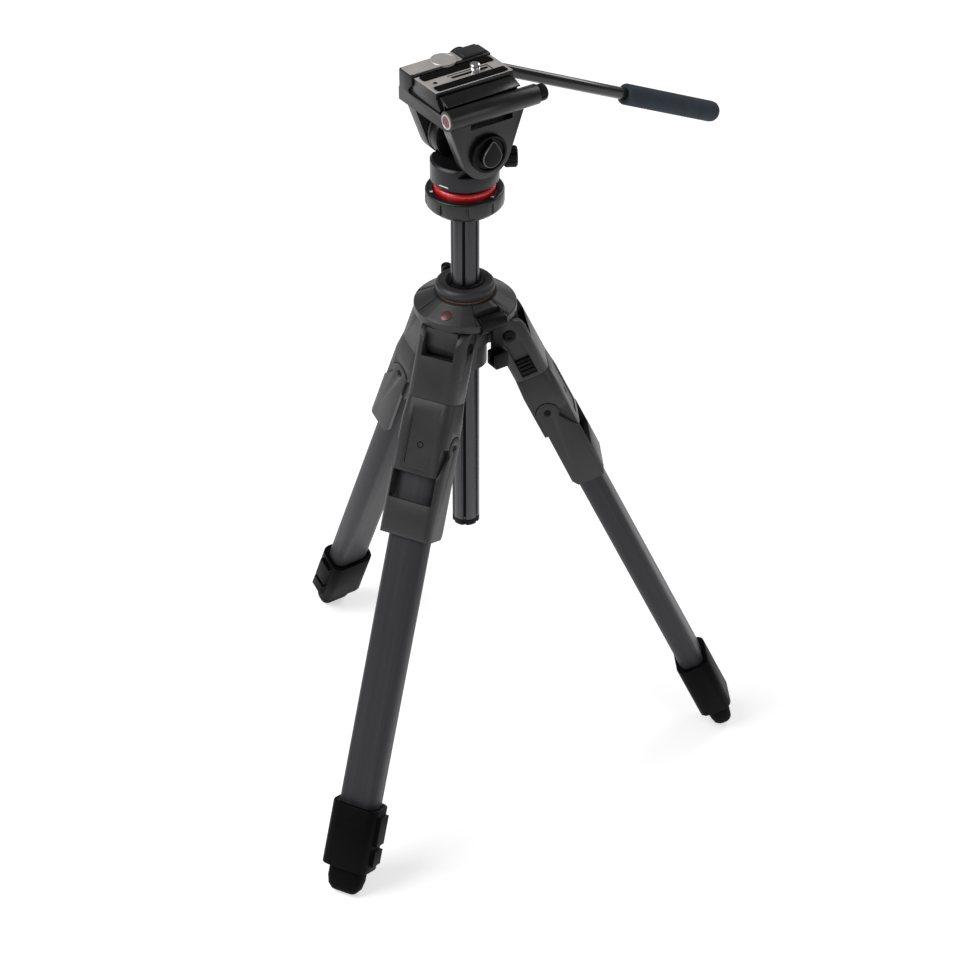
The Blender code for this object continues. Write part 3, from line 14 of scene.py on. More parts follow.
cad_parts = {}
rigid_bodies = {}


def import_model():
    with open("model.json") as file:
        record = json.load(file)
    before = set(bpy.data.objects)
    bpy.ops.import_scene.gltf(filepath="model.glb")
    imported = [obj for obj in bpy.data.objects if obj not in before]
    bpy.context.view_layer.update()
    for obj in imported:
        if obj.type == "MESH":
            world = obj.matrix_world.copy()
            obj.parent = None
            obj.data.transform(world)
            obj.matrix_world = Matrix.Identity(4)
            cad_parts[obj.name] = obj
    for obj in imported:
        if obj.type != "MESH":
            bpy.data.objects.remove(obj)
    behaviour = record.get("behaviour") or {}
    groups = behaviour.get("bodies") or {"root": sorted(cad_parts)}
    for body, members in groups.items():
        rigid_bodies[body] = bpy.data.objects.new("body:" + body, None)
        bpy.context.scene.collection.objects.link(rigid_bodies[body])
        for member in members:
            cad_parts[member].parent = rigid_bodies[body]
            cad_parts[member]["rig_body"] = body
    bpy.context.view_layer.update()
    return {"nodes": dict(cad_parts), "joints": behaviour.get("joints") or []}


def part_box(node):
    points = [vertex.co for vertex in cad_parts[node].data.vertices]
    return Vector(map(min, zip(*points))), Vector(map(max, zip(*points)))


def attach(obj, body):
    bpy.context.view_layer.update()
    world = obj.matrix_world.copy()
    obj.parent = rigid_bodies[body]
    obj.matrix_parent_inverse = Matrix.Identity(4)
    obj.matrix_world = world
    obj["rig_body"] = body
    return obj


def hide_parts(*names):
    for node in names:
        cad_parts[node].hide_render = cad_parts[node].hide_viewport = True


bl_info = {
    "name": "Video tripod",
    "version": (1, 0, 0),
    "blender": (4, 5, 0),
    "location": "View3D > Sidebar > Tripod",
    "description": "Finishes, trim and studio for a folding tripod with a fluid head",
    "category": "Object",
}

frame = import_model()
JOINTS = {joint["name"]: joint for joint in frame["joints"]}
SIDES = ("front", "right", "left")
MM = 0.001


# ---------------------------------------------------------------- places


def linear(hex_code):
    """Linear RGBA of an sRGB hex colour."""
    channels = []
    for start in (0, 2, 4):
        value = int(hex_code[start : start + 2], 16) / 255
        channels.append(value / 12.92 if value <= 0.04045 else ((value + 0.055) / 1.055) ** 2.4)
    return (*channels, 1.0)


def frame_matrix(origin, x_axis, z_axis):
    """Matrix of a local frame from its origin, X axis and Z axis."""
    x = Vector(x_axis).normalized()
    z = Vector(z_axis).normalized()
    y = z.cross(x)
    turn = Matrix((x, y, z)).transposed().to_4x4()
    return Matrix.Translation(origin) @ turn


def leg_frame(side):
    """Frame of one leg: origin on its hinge, X along the hinge, Y outwards, Z up the leg."""
    hinge = JOINTS[f"leg_{side}_spread"]
    down = Vector(JOINTS[f"leg_{side}_mid_extend"]["axis"])
    return frame_matrix(hinge["pos_m"], hinge["axis"], -down)


def head_frame():
    """Frame on the column's top: X along the tilt axis, Y to the rear of the head."""
    return frame_matrix(JOINTS["pan"]["pos_m"], JOINTS["tilt"]["axis"], (0, 0, 1))


def tilt_frame():
    """Frame on the tilt axis, turned as the head's."""
    return frame_matrix(JOINTS["tilt"]["pos_m"], JOINTS["tilt"]["axis"], (0, 0, 1))


def bar_frame():
    """Frame on the pan bar's joint: X along the joint, Y down the bar."""
    joint = JOINTS["pan_bar_angle"]
    x = Vector(joint["axis"])
    level = Vector((0, 0, 1)).cross(x)
    drop = math.radians(25)
    along = level * math.cos(drop) - Vector((0, 0, 1)) * math.sin(drop)
    return frame_matrix(joint["pos_m"], x, x.cross(along))


def column_foot():
    """The point on the floor under the column."""
    x, y, _ = JOINTS["pan"]["pos_m"]
    return Vector((x, y, 0))


# ---------------------------------------------------------------- finishes


def add_node(tree, kind, inputs=None, **settings):
    """Add a node, set its properties, and fill its sockets with values or links."""
    node = tree.nodes.new(kind)
    for name, value in settings.items():
        setattr(node, name, value)
    for name, value in (inputs or {}).items():
        if isinstance(value, bpy.types.NodeSocket):
            tree.links.new(value, node.inputs[name])
        else:
            node.inputs[name].default_value = value
    return node


def surface(name, colour, roughness, metallic=0.0, grain=1.2, depth=0.1, tone=0.1, spread=0.06,
            stretch=(1, 1, 1), turn=None, cloud=18, coat=0.0, specular=0.5, ior=1.5):
    """A surface whose tone, roughness and relief vary.

    grain is the size of the relief's grains and cloud that of the slow changes of tone, both in
    millimetres. stretch draws the grain out along the frame's axes, and turn is that frame.
    """
    if name in bpy.data.materials:
        return bpy.data.materials[name]
    made = bpy.data.materials.new(name)
    made.use_nodes = True
    tree = made.node_tree
    shader = tree.nodes["Principled BSDF"]
    where = add_node(tree, "ShaderNodeTexCoord").outputs["Object"]
    matrix = turn or Matrix.Identity(4)
    local = add_node(
        tree,
        "ShaderNodeMapping",
        {
            "Vector": where,
            "Location": matrix.translation,
            "Rotation": matrix.to_euler(),
            "Scale": stretch,
        },
        vector_type="TEXTURE",
    ).outputs["Vector"]
    fine = add_node(
        tree,
        "ShaderNodeTexNoise",
        {"Vector": local, "Scale": 1000 / grain, "Detail": 3.0, "Roughness": 0.6},
    ).outputs["Fac"]
    slow = add_node(
        tree, "ShaderNodeTexNoise", {"Vector": local, "Scale": 1000 / cloud, "Detail": 2.0}
    ).outputs["Fac"]
    both = add_node(tree, "ShaderNodeMath", {0: fine, 1: slow}, operation="ADD").outputs[0]
    dark = [channel * (1 - tone) for channel in colour[:3]] + [1]
    light = [min(1, channel * (1 + tone)) for channel in colour[:3]] + [1]
    share = add_node(
        tree, "ShaderNodeMapRange", {"Value": both, "From Min": 0.7, "From Max": 1.3}
    ).outputs["Result"]
    mixed = add_node(tree, "ShaderNodeMix", data_type="RGBA")
    tree.links.new(share, mixed.inputs["Factor"])
    mixed.inputs["A"].default_value = dark
    mixed.inputs["B"].default_value = light
    tree.links.new(mixed.outputs["Result"], shader.inputs["Base Color"])
    rough = add_node(
        tree,
        "ShaderNodeMapRange",
        {
            "Value": both,
            "From Min": 0.6,
            "From Max": 1.4,
            "To Min": roughness - spread,
            "To Max": roughness + spread,
        },
    ).outputs["Result"]
    tree.links.new(rough, shader.inputs["Roughness"])
    relief = add_node(
        tree, "ShaderNodeBump", {"Height": fine, "Strength": 1.0, "Distance": depth * MM}
    ).outputs["Normal"]
    tree.links.new(relief, shader.inputs["Normal"])
    shader.inputs["Metallic"].default_value = metallic
    shader.inputs["Coat Weight"].default_value = coat
    shader.inputs["Coat Roughness"].default_value = 0.12
    if metallic < 0.5:
        shader.inputs["Specular IOR Level"].default_value = specular
        shader.inputs["IOR"].default_value = ior
    return made


def finishes():
    """The finishes by name, from the colours in the panel."""
    colours = bpy.context.scene.tripod_colours
    made = {
        # Die-cast alloy with a powder coat: satin, slightly uneven, with a fine sandy relief.
        "powder_coat": surface(
            "powder_coated_casting", (*colours.casting, 1), 0.42,
            grain=0.9, depth=0.05, tone=0.1, specular=0.3,
        ),
        # The same coat, smoother and darker on the head.
        "head_coat": surface(
            "satin_coated_head_casting", (*colours.head, 1), 0.34,
            grain=0.9, depth=0.03, tone=0.12, specular=0.4,
        ),
        # Turned alloy, black anodised: fine rings of brightness round the drum.
        "turned_black": surface(
            "black_anodised_turning", (*colours.turning, 1), 0.34, metallic=0.75, grain=0.9, depth=0.01,
            tone=0.22, stretch=(40, 40, 1),
        ),
        # Glass-filled nylon moulding: nearly black, soft sheen, slight orange peel.
        "nylon": surface(
            "moulded_nylon", (*colours.nylon, 1), 0.45, grain=1.4, depth=0.04, tone=0.12, specular=0.12
        ),
        # Unpainted black nylon of the lower castings, with a matt eroded skin.
        "shoe": surface(
            "matt_black_nylon", linear("060606"), 0.5, grain=1.4, depth=0.05, tone=0.2, specular=0.06
        ),
        # Natural rubber: black and dull, with a slightly uneven tone.
        "rubber": surface(
            "moulded_rubber", (*colours.rubber, 1), 0.7, grain=1.1, depth=0.08, tone=0.25, specular=0.08
        ),
        # Foamed rubber sleeve: blue-grey, dull, with an open pebbled skin.
        "foam": surface(
            "foamed_rubber", (*colours.grip, 1), 0.78, grain=1.6, depth=0.22, tone=0.22, specular=0.25
        ),
        # Hard-anodised plate: black and close to a mirror.
        "plate_black": surface(
            "hard_anodised_plate", (*colours.turning, 1), 0.2,
            metallic=0.6, grain=2.5, depth=0.004, tone=0.1,
        ),
        # Bead-blasted alloy left in its own warm grey.
        "blasted": surface(
            "bead_blasted_alloy", (*colours.bright, 1), 0.4,
            metallic=0.35, grain=0.9, depth=0.02, tone=0.08,
        ),
        # Lighter grey nylon as a painted highlight, standing in for the light that an edge catches.
        "painted_highlight": surface(
            "painted_highlight_edge", linear("4c4c4d"), 0.25, grain=1.2, depth=0.01, tone=0.1
        ),
        # Stainless steel, turned and polished.
        "steel": surface(
            "polished_stainless_steel", linear("c9cacc"), 0.2,
            metallic=1.0, grain=1.0, depth=0.004, tone=0.08,
        ),
        # Red lacquer on the pan index ring, with a clear coat.
        "red": surface(
            "red_lacquer", (*colours.ring, 1), 0.3, grain=3, depth=0.004, tone=0.08, coat=0.6
        ),
        # Porous bronze bearing.
        "bronze": surface(
            "sintered_bronze", linear("7a6552"), 0.38, metallic=0.9, grain=0.9, depth=0.03, tone=0.2
        ),
        # Printed white marks.
        "white": surface(
            "white_printing_ink", linear("e4e4e2"), 0.5, grain=1, depth=0.005, tone=0.03
        ),
        # Red-tinted metal of the two plain badge discs.
        "badge": surface(
            "brushed_badge_plate", linear("6a4244"), 0.35, metallic=0.5, grain=0.9, depth=0.01, tone=0.15
        ),
        # Dull black for the keyway linings and the plate's slot line, both painted shade in a recess,
        # and for the rings on the pads.
        "lining_and_painted_shade": surface(
            "shadow_gap_lining", linear("0b0b0c"), 0.8, grain=2, depth=0.02, tone=0.2, specular=0.1
        ),
    }
    for side in SIDES:
        # Drawn alloy section, anodised blue-grey: faint lengthwise streaks from the die.
        made[f"tube_{side}"] = surface(
            f"anodised_leg_section_{side}", (*colours.tube, 1), 0.42,
            metallic=0.08, grain=1.1, depth=0.02,
            tone=0.14, stretch=(1, 1, 60), turn=leg_frame(side), cloud=7, specular=0.12,
        )
    # The column is drawn and anodised darker, and is glossier than the legs.
    made["column"] = surface(
        "anodised_column", (*colours.column, 1), 0.3, metallic=0.6, grain=1.0, depth=0.012,
        tone=0.16, stretch=(1, 1, 60), cloud=6,
    )
    # Black anodised drawn bar, glossy along its length.
    made["bar"] = surface(
        "black_anodised_bar", (*colours.turning, 1), 0.2, metallic=0.55, grain=1.0, depth=0.006,
        tone=0.2, stretch=(1, 60, 1), turn=bar_frame(), cloud=9, coat=0.3,
    )
    return made


# ---------------------------------------------------------------- shapes


def place_piece(name, bm, finish, body, matrix=None, bevel=0.0, replaced=(), sharp=35):
    """Turn a bmesh into a finished piece that rides on a body."""
    bmesh.ops.recalc_face_normals(bm, faces=bm.faces)
    mesh = bpy.data.meshes.new(name)
    bm.to_mesh(mesh)
    bm.free()
    if matrix is not None:
        mesh.transform(matrix)
    for item in finish if isinstance(finish, (list, tuple)) else [finish]:
        mesh.materials.append(item)
    piece = bpy.data.objects.new(name, mesh)
    bpy.context.scene.collection.objects.link(piece)
    mesh.shade_smooth()
    if bevel:
        edges = piece.modifiers.new("Soft edges", "BEVEL")
        edges.width = bevel
        edges.segments = 2
        edges.profile = 0.5
        edges.limit_method = "ANGLE"
        edges.angle_limit = math.radians(sharp)
        edges.use_clamp_overlap = True
        edges.harden_normals = True
    else:
        mesh.set_sharp_from_angle(angle=math.radians(sharp))
    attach(piece, body)
    if replaced:
        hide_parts(*replaced)
    return piece


def merged_copy(node):
    """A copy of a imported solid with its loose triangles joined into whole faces."""
    bm = bmesh.new()
    bm.from_mesh(frame["nodes"][node].data)
    bmesh.ops.remove_doubles(bm, verts=bm.verts, dist=0.01 * MM)
    bmesh.ops.dissolve_limit(bm, angle_limit=math.radians(1.5), verts=bm.verts, edges=bm.edges)
    return bm


def dress(node, finish, bevel=0.5 * MM, change=None, sharp=35):
    """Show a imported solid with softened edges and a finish. change edits the copy first."""
    bm = merged_copy(node)
    if change:
        change(bm)
    body = frame["nodes"][node]["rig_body"]
    return place_piece(
        f"{node}_finished", bm, finish, body,
        bevel=bevel, replaced=(node,), sharp=sharp,
    )


def keep(node, finish):
    """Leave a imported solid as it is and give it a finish."""
    item = frame["nodes"][node]
    item.data.materials.clear()
    item.data.materials.append(finish)


def spun(profile, segments=48):
    """A (radius, height) profile spun about Z into a closed solid."""
    bm = bmesh.new()
    verts = [bm.verts.new((radius, 0, height)) for radius, height in profile]
    edges = [bm.edges.new(pair) for pair in zip(verts, verts[1:])]
    if profile[0][0] > 0:
        edges.append(bm.edges.new((verts[-1], verts[0])))
    bmesh.ops.spin(
        bm, geom=verts + edges, axis=(0, 0, 1), cent=(0, 0, 0),
        angle=2 * math.pi, steps=segments, use_merge=True,
    )
    bmesh.ops.remove_doubles(bm, verts=bm.verts, dist=0.001 * MM)
    return bm


def slab(width, length, height, corner=0.0, segments=3):
    """A flat block on Z = 0 with round corners in plan."""
    bm = bmesh.new()
    bmesh.ops.create_cube(bm, size=1)
    bmesh.ops.translate(bm, verts=bm.verts, vec=(0, 0, 0.5))
    bmesh.ops.scale(bm, verts=bm.verts, vec=(width, length, height))
    if corner:
        upright = [
            edge for edge in bm.edges if abs(edge.verts[0].co.z - edge.verts[1].co.z) > height / 2
        ]
        bmesh.ops.bevel(
            bm, geom=upright, offset=corner, segments=segments, profile=0.5, affect="EDGES", material=-1
        )
    return bm


def join(parts):
    """One bmesh from several (bmesh, matrix) pairs."""
    whole = bmesh.new()
    for bm, matrix in parts:
        mesh = bpy.data.meshes.new("part")
        bm.to_mesh(mesh)
        bm.free()
        mesh.transform(matrix)
        whole.from_mesh(mesh)
        bpy.data.meshes.remove(mesh)
    return whole


def sink_strip(bm, centre, normal, half_width, depth, chosen, way):
    """Cut a groove: slice a strip out of the chosen faces and push it in."""
    normal = Vector(normal).normalized()
    for side in (-1, 1):
        geom = bm.verts[:] + bm.edges[:] + bm.faces[:]
        edge = centre + normal * side * half_width
        bmesh.ops.bisect_plane(bm, geom=geom, plane_co=edge, plane_no=normal)
    strip = [
        face
        for face in bm.faces
        if abs((face.calc_center_median() - centre).dot(normal)) < half_width and chosen(face)
    ]
    made = bmesh.ops.extrude_face_region(bm, geom=strip)
    moved = [item for item in made["geom"] if isinstance(item, bmesh.types.BMVert)]
    bmesh.ops.translate(bm, verts=moved, vec=way * depth)
    bmesh.ops.delete(bm, geom=strip, context="FACES")


# ---------------------------------------------------------------- settings


def colour_setting(name, description, hex_code):
    return bpy.props.FloatVectorProperty(
        name=name, description=description, default=linear(hex_code)[:3],
        subtype="COLOR", size=3, min=0, max=1,
    )


def length_setting(name, description, millimetres):
    return bpy.props.FloatProperty(
        name=name, description=description, default=millimetres * MM, min=0, unit="LENGTH", precision=4
    )


class TripodColours(bpy.types.PropertyGroup):
    casting: colour_setting("Leg castings", "Powder coat of the leg castings and the crown", "2b2b2c")
    head: colour_setting("Head castings", "Satin coat of the head", "121213")
    turning: colour_setting("Black turnings", "Anodising of turnings, the plate and the bar", "29292b")
    nylon: colour_setting("Nylon", "Moulded knobs, levers and lower castings", "0c0c0d")
    rubber: colour_setting("Rubber", "Feet and plate strips", "040404")
    tube: colour_setting("Leg sections", "Anodising of the leg sections", "363639")
    column: colour_setting("Column", "Anodising of the centre column", "3d3d40")
    grip: colour_setting("Grip", "Foamed rubber of the pan bar's grip", "2d343d")
    bright: colour_setting("Bright alloy", "Blasted alloy on top of the head", "b9b4b0")
    ring: colour_setting("Pan ring", "Lacquer of the pan index ring", "c4141e")


class TripodSizes(bpy.types.PropertyGroup):
    edge: length_setting("Edge radius", "Rounding of the castings' edges", 0.7)
    small_edge: length_setting("Small edge radius", "Rounding of knobs and turned pieces", 0.4)
    strip_height: length_setting("Strip height", "How far the plate's rubber strips stand up", 0.9)
    strip_width: length_setting("Strip width", "Width of each rubber strip", 8.6)
    badge_radius: length_setting("Badge radius", "Radius of the plain badges", 5.2)


class StudioSettings(bpy.types.PropertyGroup):
    sky: bpy.props.FloatProperty(
        name="Surround", description="Strength of the white surround", default=0.22, min=0
    )
    floor: bpy.props.FloatProperty(
        name="Floor", description="Light given off by the white floor", default=0.58, min=0
    )
    key: bpy.props.FloatProperty(
        name="Key light", description="Power of the large soft light", default=80, min=0, unit="POWER"
    )
    fill: bpy.props.FloatProperty(
        name="Fill light", description="Power of the light from the other side",
        default=12, min=0, unit="POWER",
    )
    back: bpy.props.FloatProperty(
        name="Back light", description="Power of the light behind the object",
        default=20, min=0, unit="POWER",
    )


# ---------------------------------------------------------------- operators


class TRIPOD_OT_legs(bpy.types.Operator):
    """Castings, sections, levers and feet of the three legs"""

    bl_idname = "tripod.legs"
    bl_label = "Legs"

    def execute(self, context):
        made = finishes()
        sizes = context.scene.tripod_sizes
        for side in SIDES:
            node = f"leg_{side}_"
            place = leg_frame(side)
            dress(node + "casting", made["powder_coat"], sizes.edge)
            dress(node + "lever_housing", made["powder_coat"], sizes.edge)
            dress(node + "release_lever", made["powder_coat"], sizes.edge)
            dress(node + "angle_button", made["nylon"], sizes.small_edge)
            dress(node + "lower_casting", made["shoe"], sizes.edge)
            dress(node + "foot", made["rubber"], sizes.small_edge)
            dress(node + "outer_tube", made[f"tube_{side}"], sizes.small_edge)
            keep(node + "mid_tube", made[f"tube_{side}"])
            keep(node + "inner_tube", made[f"tube_{side}"])
            keep(node + "hinge_pin", made["steel"])
            self.add_trim(side, place, made)
        return {"FINISHED"}

    def add_trim(self, side, place, made):
        """Caps over the lever's pivot and the hinge pin, and the plain ring on the pad."""
        body = f"leg_{side}"
        low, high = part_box(f"leg_{side}_lever_housing")
        if (high - low).length < MM:
            raise RuntimeError(f"the {side} leg's housing has no size")
        pivot = place.inverted() @ Vector(JOINTS[f"leg_{side}_release_swing"]["pos_m"])
        pivot_face = 25.2 * MM
        hinge_face = 23.4 * MM
        caps = []
        for way in (-1, 1):
            cap = spun(
                [(0, 0), (3.4 * MM, 0), (3.4 * MM, 0.5 * MM), (2.8 * MM, 0.9 * MM),
                 (1.3 * MM, 0.9 * MM), (1.2 * MM, 0.3 * MM), (0, 0.3 * MM)],
                24,
            )
            turn = Matrix.Translation((way * pivot_face, pivot.y, pivot.z)) @ Matrix.Rotation(
                way * math.pi / 2, 4, "Y"
            )
            caps.append((cap, turn))
        place_piece(f"leg_{side}_pivot_caps", join(caps), made["nylon"], body, place)
        caps = []
        for way in (-1, 1):
            cap = spun(
                [(0, 0), (6 * MM, 0), (6 * MM, 0.7 * MM), (5.2 * MM, 1.2 * MM),
                 (2.6 * MM, 1.2 * MM), (2.4 * MM, 0.4 * MM), (0, 0.4 * MM)],
                32,
            )
            turn = Matrix.Translation((way * hinge_face, 0, 0)) @ Matrix.Rotation(
                way * math.pi / 2, 4, "Y"
            )
            caps.append((cap, turn))
        place_piece(f"leg_{side}_hinge_caps", join(caps), made["nylon"], body, place)
        ring = spun(
            [(2.2 * MM, -0.1 * MM), (3 * MM, -0.1 * MM), (3 * MM, 0.15 * MM), (2.2 * MM, 0.15 * MM)], 32
        )
        front = Matrix.Translation((0, 17.2 * MM, -91 * MM)) @ Matrix.Rotation(-math.pi / 2, 4, "X")
        place_piece(f"leg_{side}_pad_ring", ring, made["lining_and_painted_shade"], body, place @ front)


class TRIPOD_OT_apex(bpy.types.Operator):
    """Crown, collar, bush and column lever"""

    bl_idname = "tripod.apex"
    bl_label = "Apex"

    def execute(self, context):
        made = finishes()
        sizes = context.scene.tripod_sizes
        foot = column_foot()

        def seams(bm):
            for leg in range(3):
                for offset in (-39, 39):
                    angle = math.radians(-90 + 120 * leg + offset)
                    out = Vector((math.cos(angle), math.sin(angle), 0))
                    across = Vector((-out.y, out.x, 0))
                    sink_strip(
                        bm, foot, across, 0.5 * MM, 1.0 * MM,
                        lambda face, out=out: (face.calc_center_median() - foot).dot(out) > 20 * MM
                        and face.normal.z > 0.05,
                        Vector((0, 0, -1)),
                    )

        dress("apex_crown", made["powder_coat"], sizes.edge, change=seams)
        dress("apex_casting", made["powder_coat"], sizes.edge)
        dress("column_collar", made["powder_coat"], sizes.small_edge)
        dress("column_bush", made["nylon"], sizes.small_edge)
        dress("column_lever", made["nylon"], sizes.small_edge)
        dress("apex_level", made["nylon"], sizes.small_edge)
        keep("column_lever_pin", made["steel"])
        low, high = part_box("column_collar")
        radius = (high.x - low.x) / 2
        band = spun(
            [(radius - 6 * MM, 0), (radius - 1.1 * MM, 0), (radius - 1.1 * MM, 1.7 * MM),
             (radius - 6 * MM, 1.7 * MM)],
            64,
        )
        spot = Matrix.Translation((foot.x, foot.y, low.z + 0.1 * MM))
        place_piece("collar_washer", band, made["bronze"], "apex", spot)
        self.add_badge(foot, made, sizes)
        return {"FINISHED"}

    def add_badge(self, foot, made, sizes):
        """A plain round badge on the crown's slope, over the front leg."""
        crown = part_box("apex_crown")
        tilt = math.atan2(8 * MM, 17.5 * MM)
        centre = Matrix.Translation((foot.x, foot.y - 38.2 * MM, crown[0].z + 11.3 * MM))
        spot = centre @ Matrix.Rotation(tilt, 4, "X")
        radius = sizes.badge_radius
        disc = spun(
            [(0, 0), (radius, 0), (radius, 0.5 * MM), (radius - 0.5 * MM, 0.8 * MM), (0, 0.8 * MM)], 40
        )
        place_piece("crown_badge", disc, made["badge"], "apex", spot)


class TRIPOD_OT_column(bpy.types.Operator):
    """Centre column and its cap"""

    bl_idname = "tripod.column"
    bl_label = "Column"

    def execute(self, context):
        made = finishes()
        sizes = context.scene.tripod_sizes
        dress("column_tube", made["column"], sizes.small_edge, sharp=30)
        dress("column_end_cap", made["nylon"], sizes.small_edge, sharp=30)
        # painted shade: dark linings in the six keyways, which end short of the column's top
        low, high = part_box("column_tube")
        linings = []
        for count in range(6):
            spot = (
                Matrix.Translation(column_foot() + Vector((0, 0, low.z + 3 * MM)))
                @ Matrix.Rotation(math.radians(-69 + 60 * count), 4, "Z")
                @ Matrix.Translation((11.7 * MM, 0, 0))
            )
            linings.append((slab(0.3 * MM, 2.7 * MM, high.z - low.z - 6 * MM), spot))
        place_piece("column_keyway_painted_shade", join(linings), made["lining_and_painted_shade"], "column")
        return {"FINISHED"}


class TRIPOD_OT_head_base(bpy.types.Operator):
    """Clamp, red ring and panning base of the head"""

    bl_idname = "tripod.head_base"
    bl_label = "Head base"

    def execute(self, context):
        made = finishes()
        sizes = context.scene.tripod_sizes
        head = head_frame()
        dress("head_clamp_plate", made["turned_black"], sizes.small_edge)
        dress("head_clamp_ring", made["head_coat"], sizes.edge)
        dress("head_flange", made["turned_black"], sizes.small_edge)
        dress("pan_index_ring", made["red"], sizes.small_edge)
        dress("head_body", made["turned_black"], sizes.edge)
        dress("pan_lock_knob", made["nylon"], sizes.edge)
        keep("pan_bearing", made["bronze"])
        keep("counterbalance_cartridge", made["steel"])
        # painted highlight: a light grey ring on the far drum's turned edge, standing in for the light
        # the edge catches
        rim = spun(
            [(21.4 * MM, 0), (24.3 * MM, 0), (24.3 * MM, 1.2 * MM), (23.6 * MM, 1.9 * MM),
             (21.9 * MM, 1.9 * MM), (21.4 * MM, 1.4 * MM)],
            72,
        )
        turn = Matrix.Rotation(math.pi / 2, 4, "Y")
        spot = tilt_frame() @ Matrix.Translation((-20.9 * MM, 0, 0)) @ turn
        place_piece("far_drum_highlight_rim", rim, made["painted_highlight"], "pan_body", spot)
        # the short white line over the ring, on the drum's wall
        angle = math.radians(-100.3)
        centre = Matrix.Translation(column_foot() + Vector((0, 0, head.translation.z + 33.2 * MM)))
        wall = (
            centre
            @ Matrix.Rotation(angle, 4, "Z")
            @ Matrix.Translation((30.4 * MM, 0, 0))
            @ Matrix.Rotation(math.pi / 2, 4, "Y")
        )
        line = slab(0.8 * MM, 9.5 * MM, 0.25 * MM)
        place_piece("pan_index_line", line, made["white"], "pan_body", wall)
        marks = []
        for degrees in (-136, -12):
            spot = (
                Matrix.Translation(column_foot() + Vector((0, 0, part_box("head_clamp_ring")[1].z)))
                @ Matrix.Rotation(math.radians(degrees), 4, "Z")
                @ Matrix.Translation((30.6 * MM, 0, 0))
            )
            mark = bmesh.new()
            bmesh.ops.create_cone(
                mark, cap_ends=True, segments=3, radius1=2.0 * MM, radius2=2.0 * MM, depth=0.3 * MM
            )
            marks.append((mark, spot))
        place_piece("clamp_ring_marks", join(marks), made["white"], "clamp_ring")
        return {"FINISHED"}


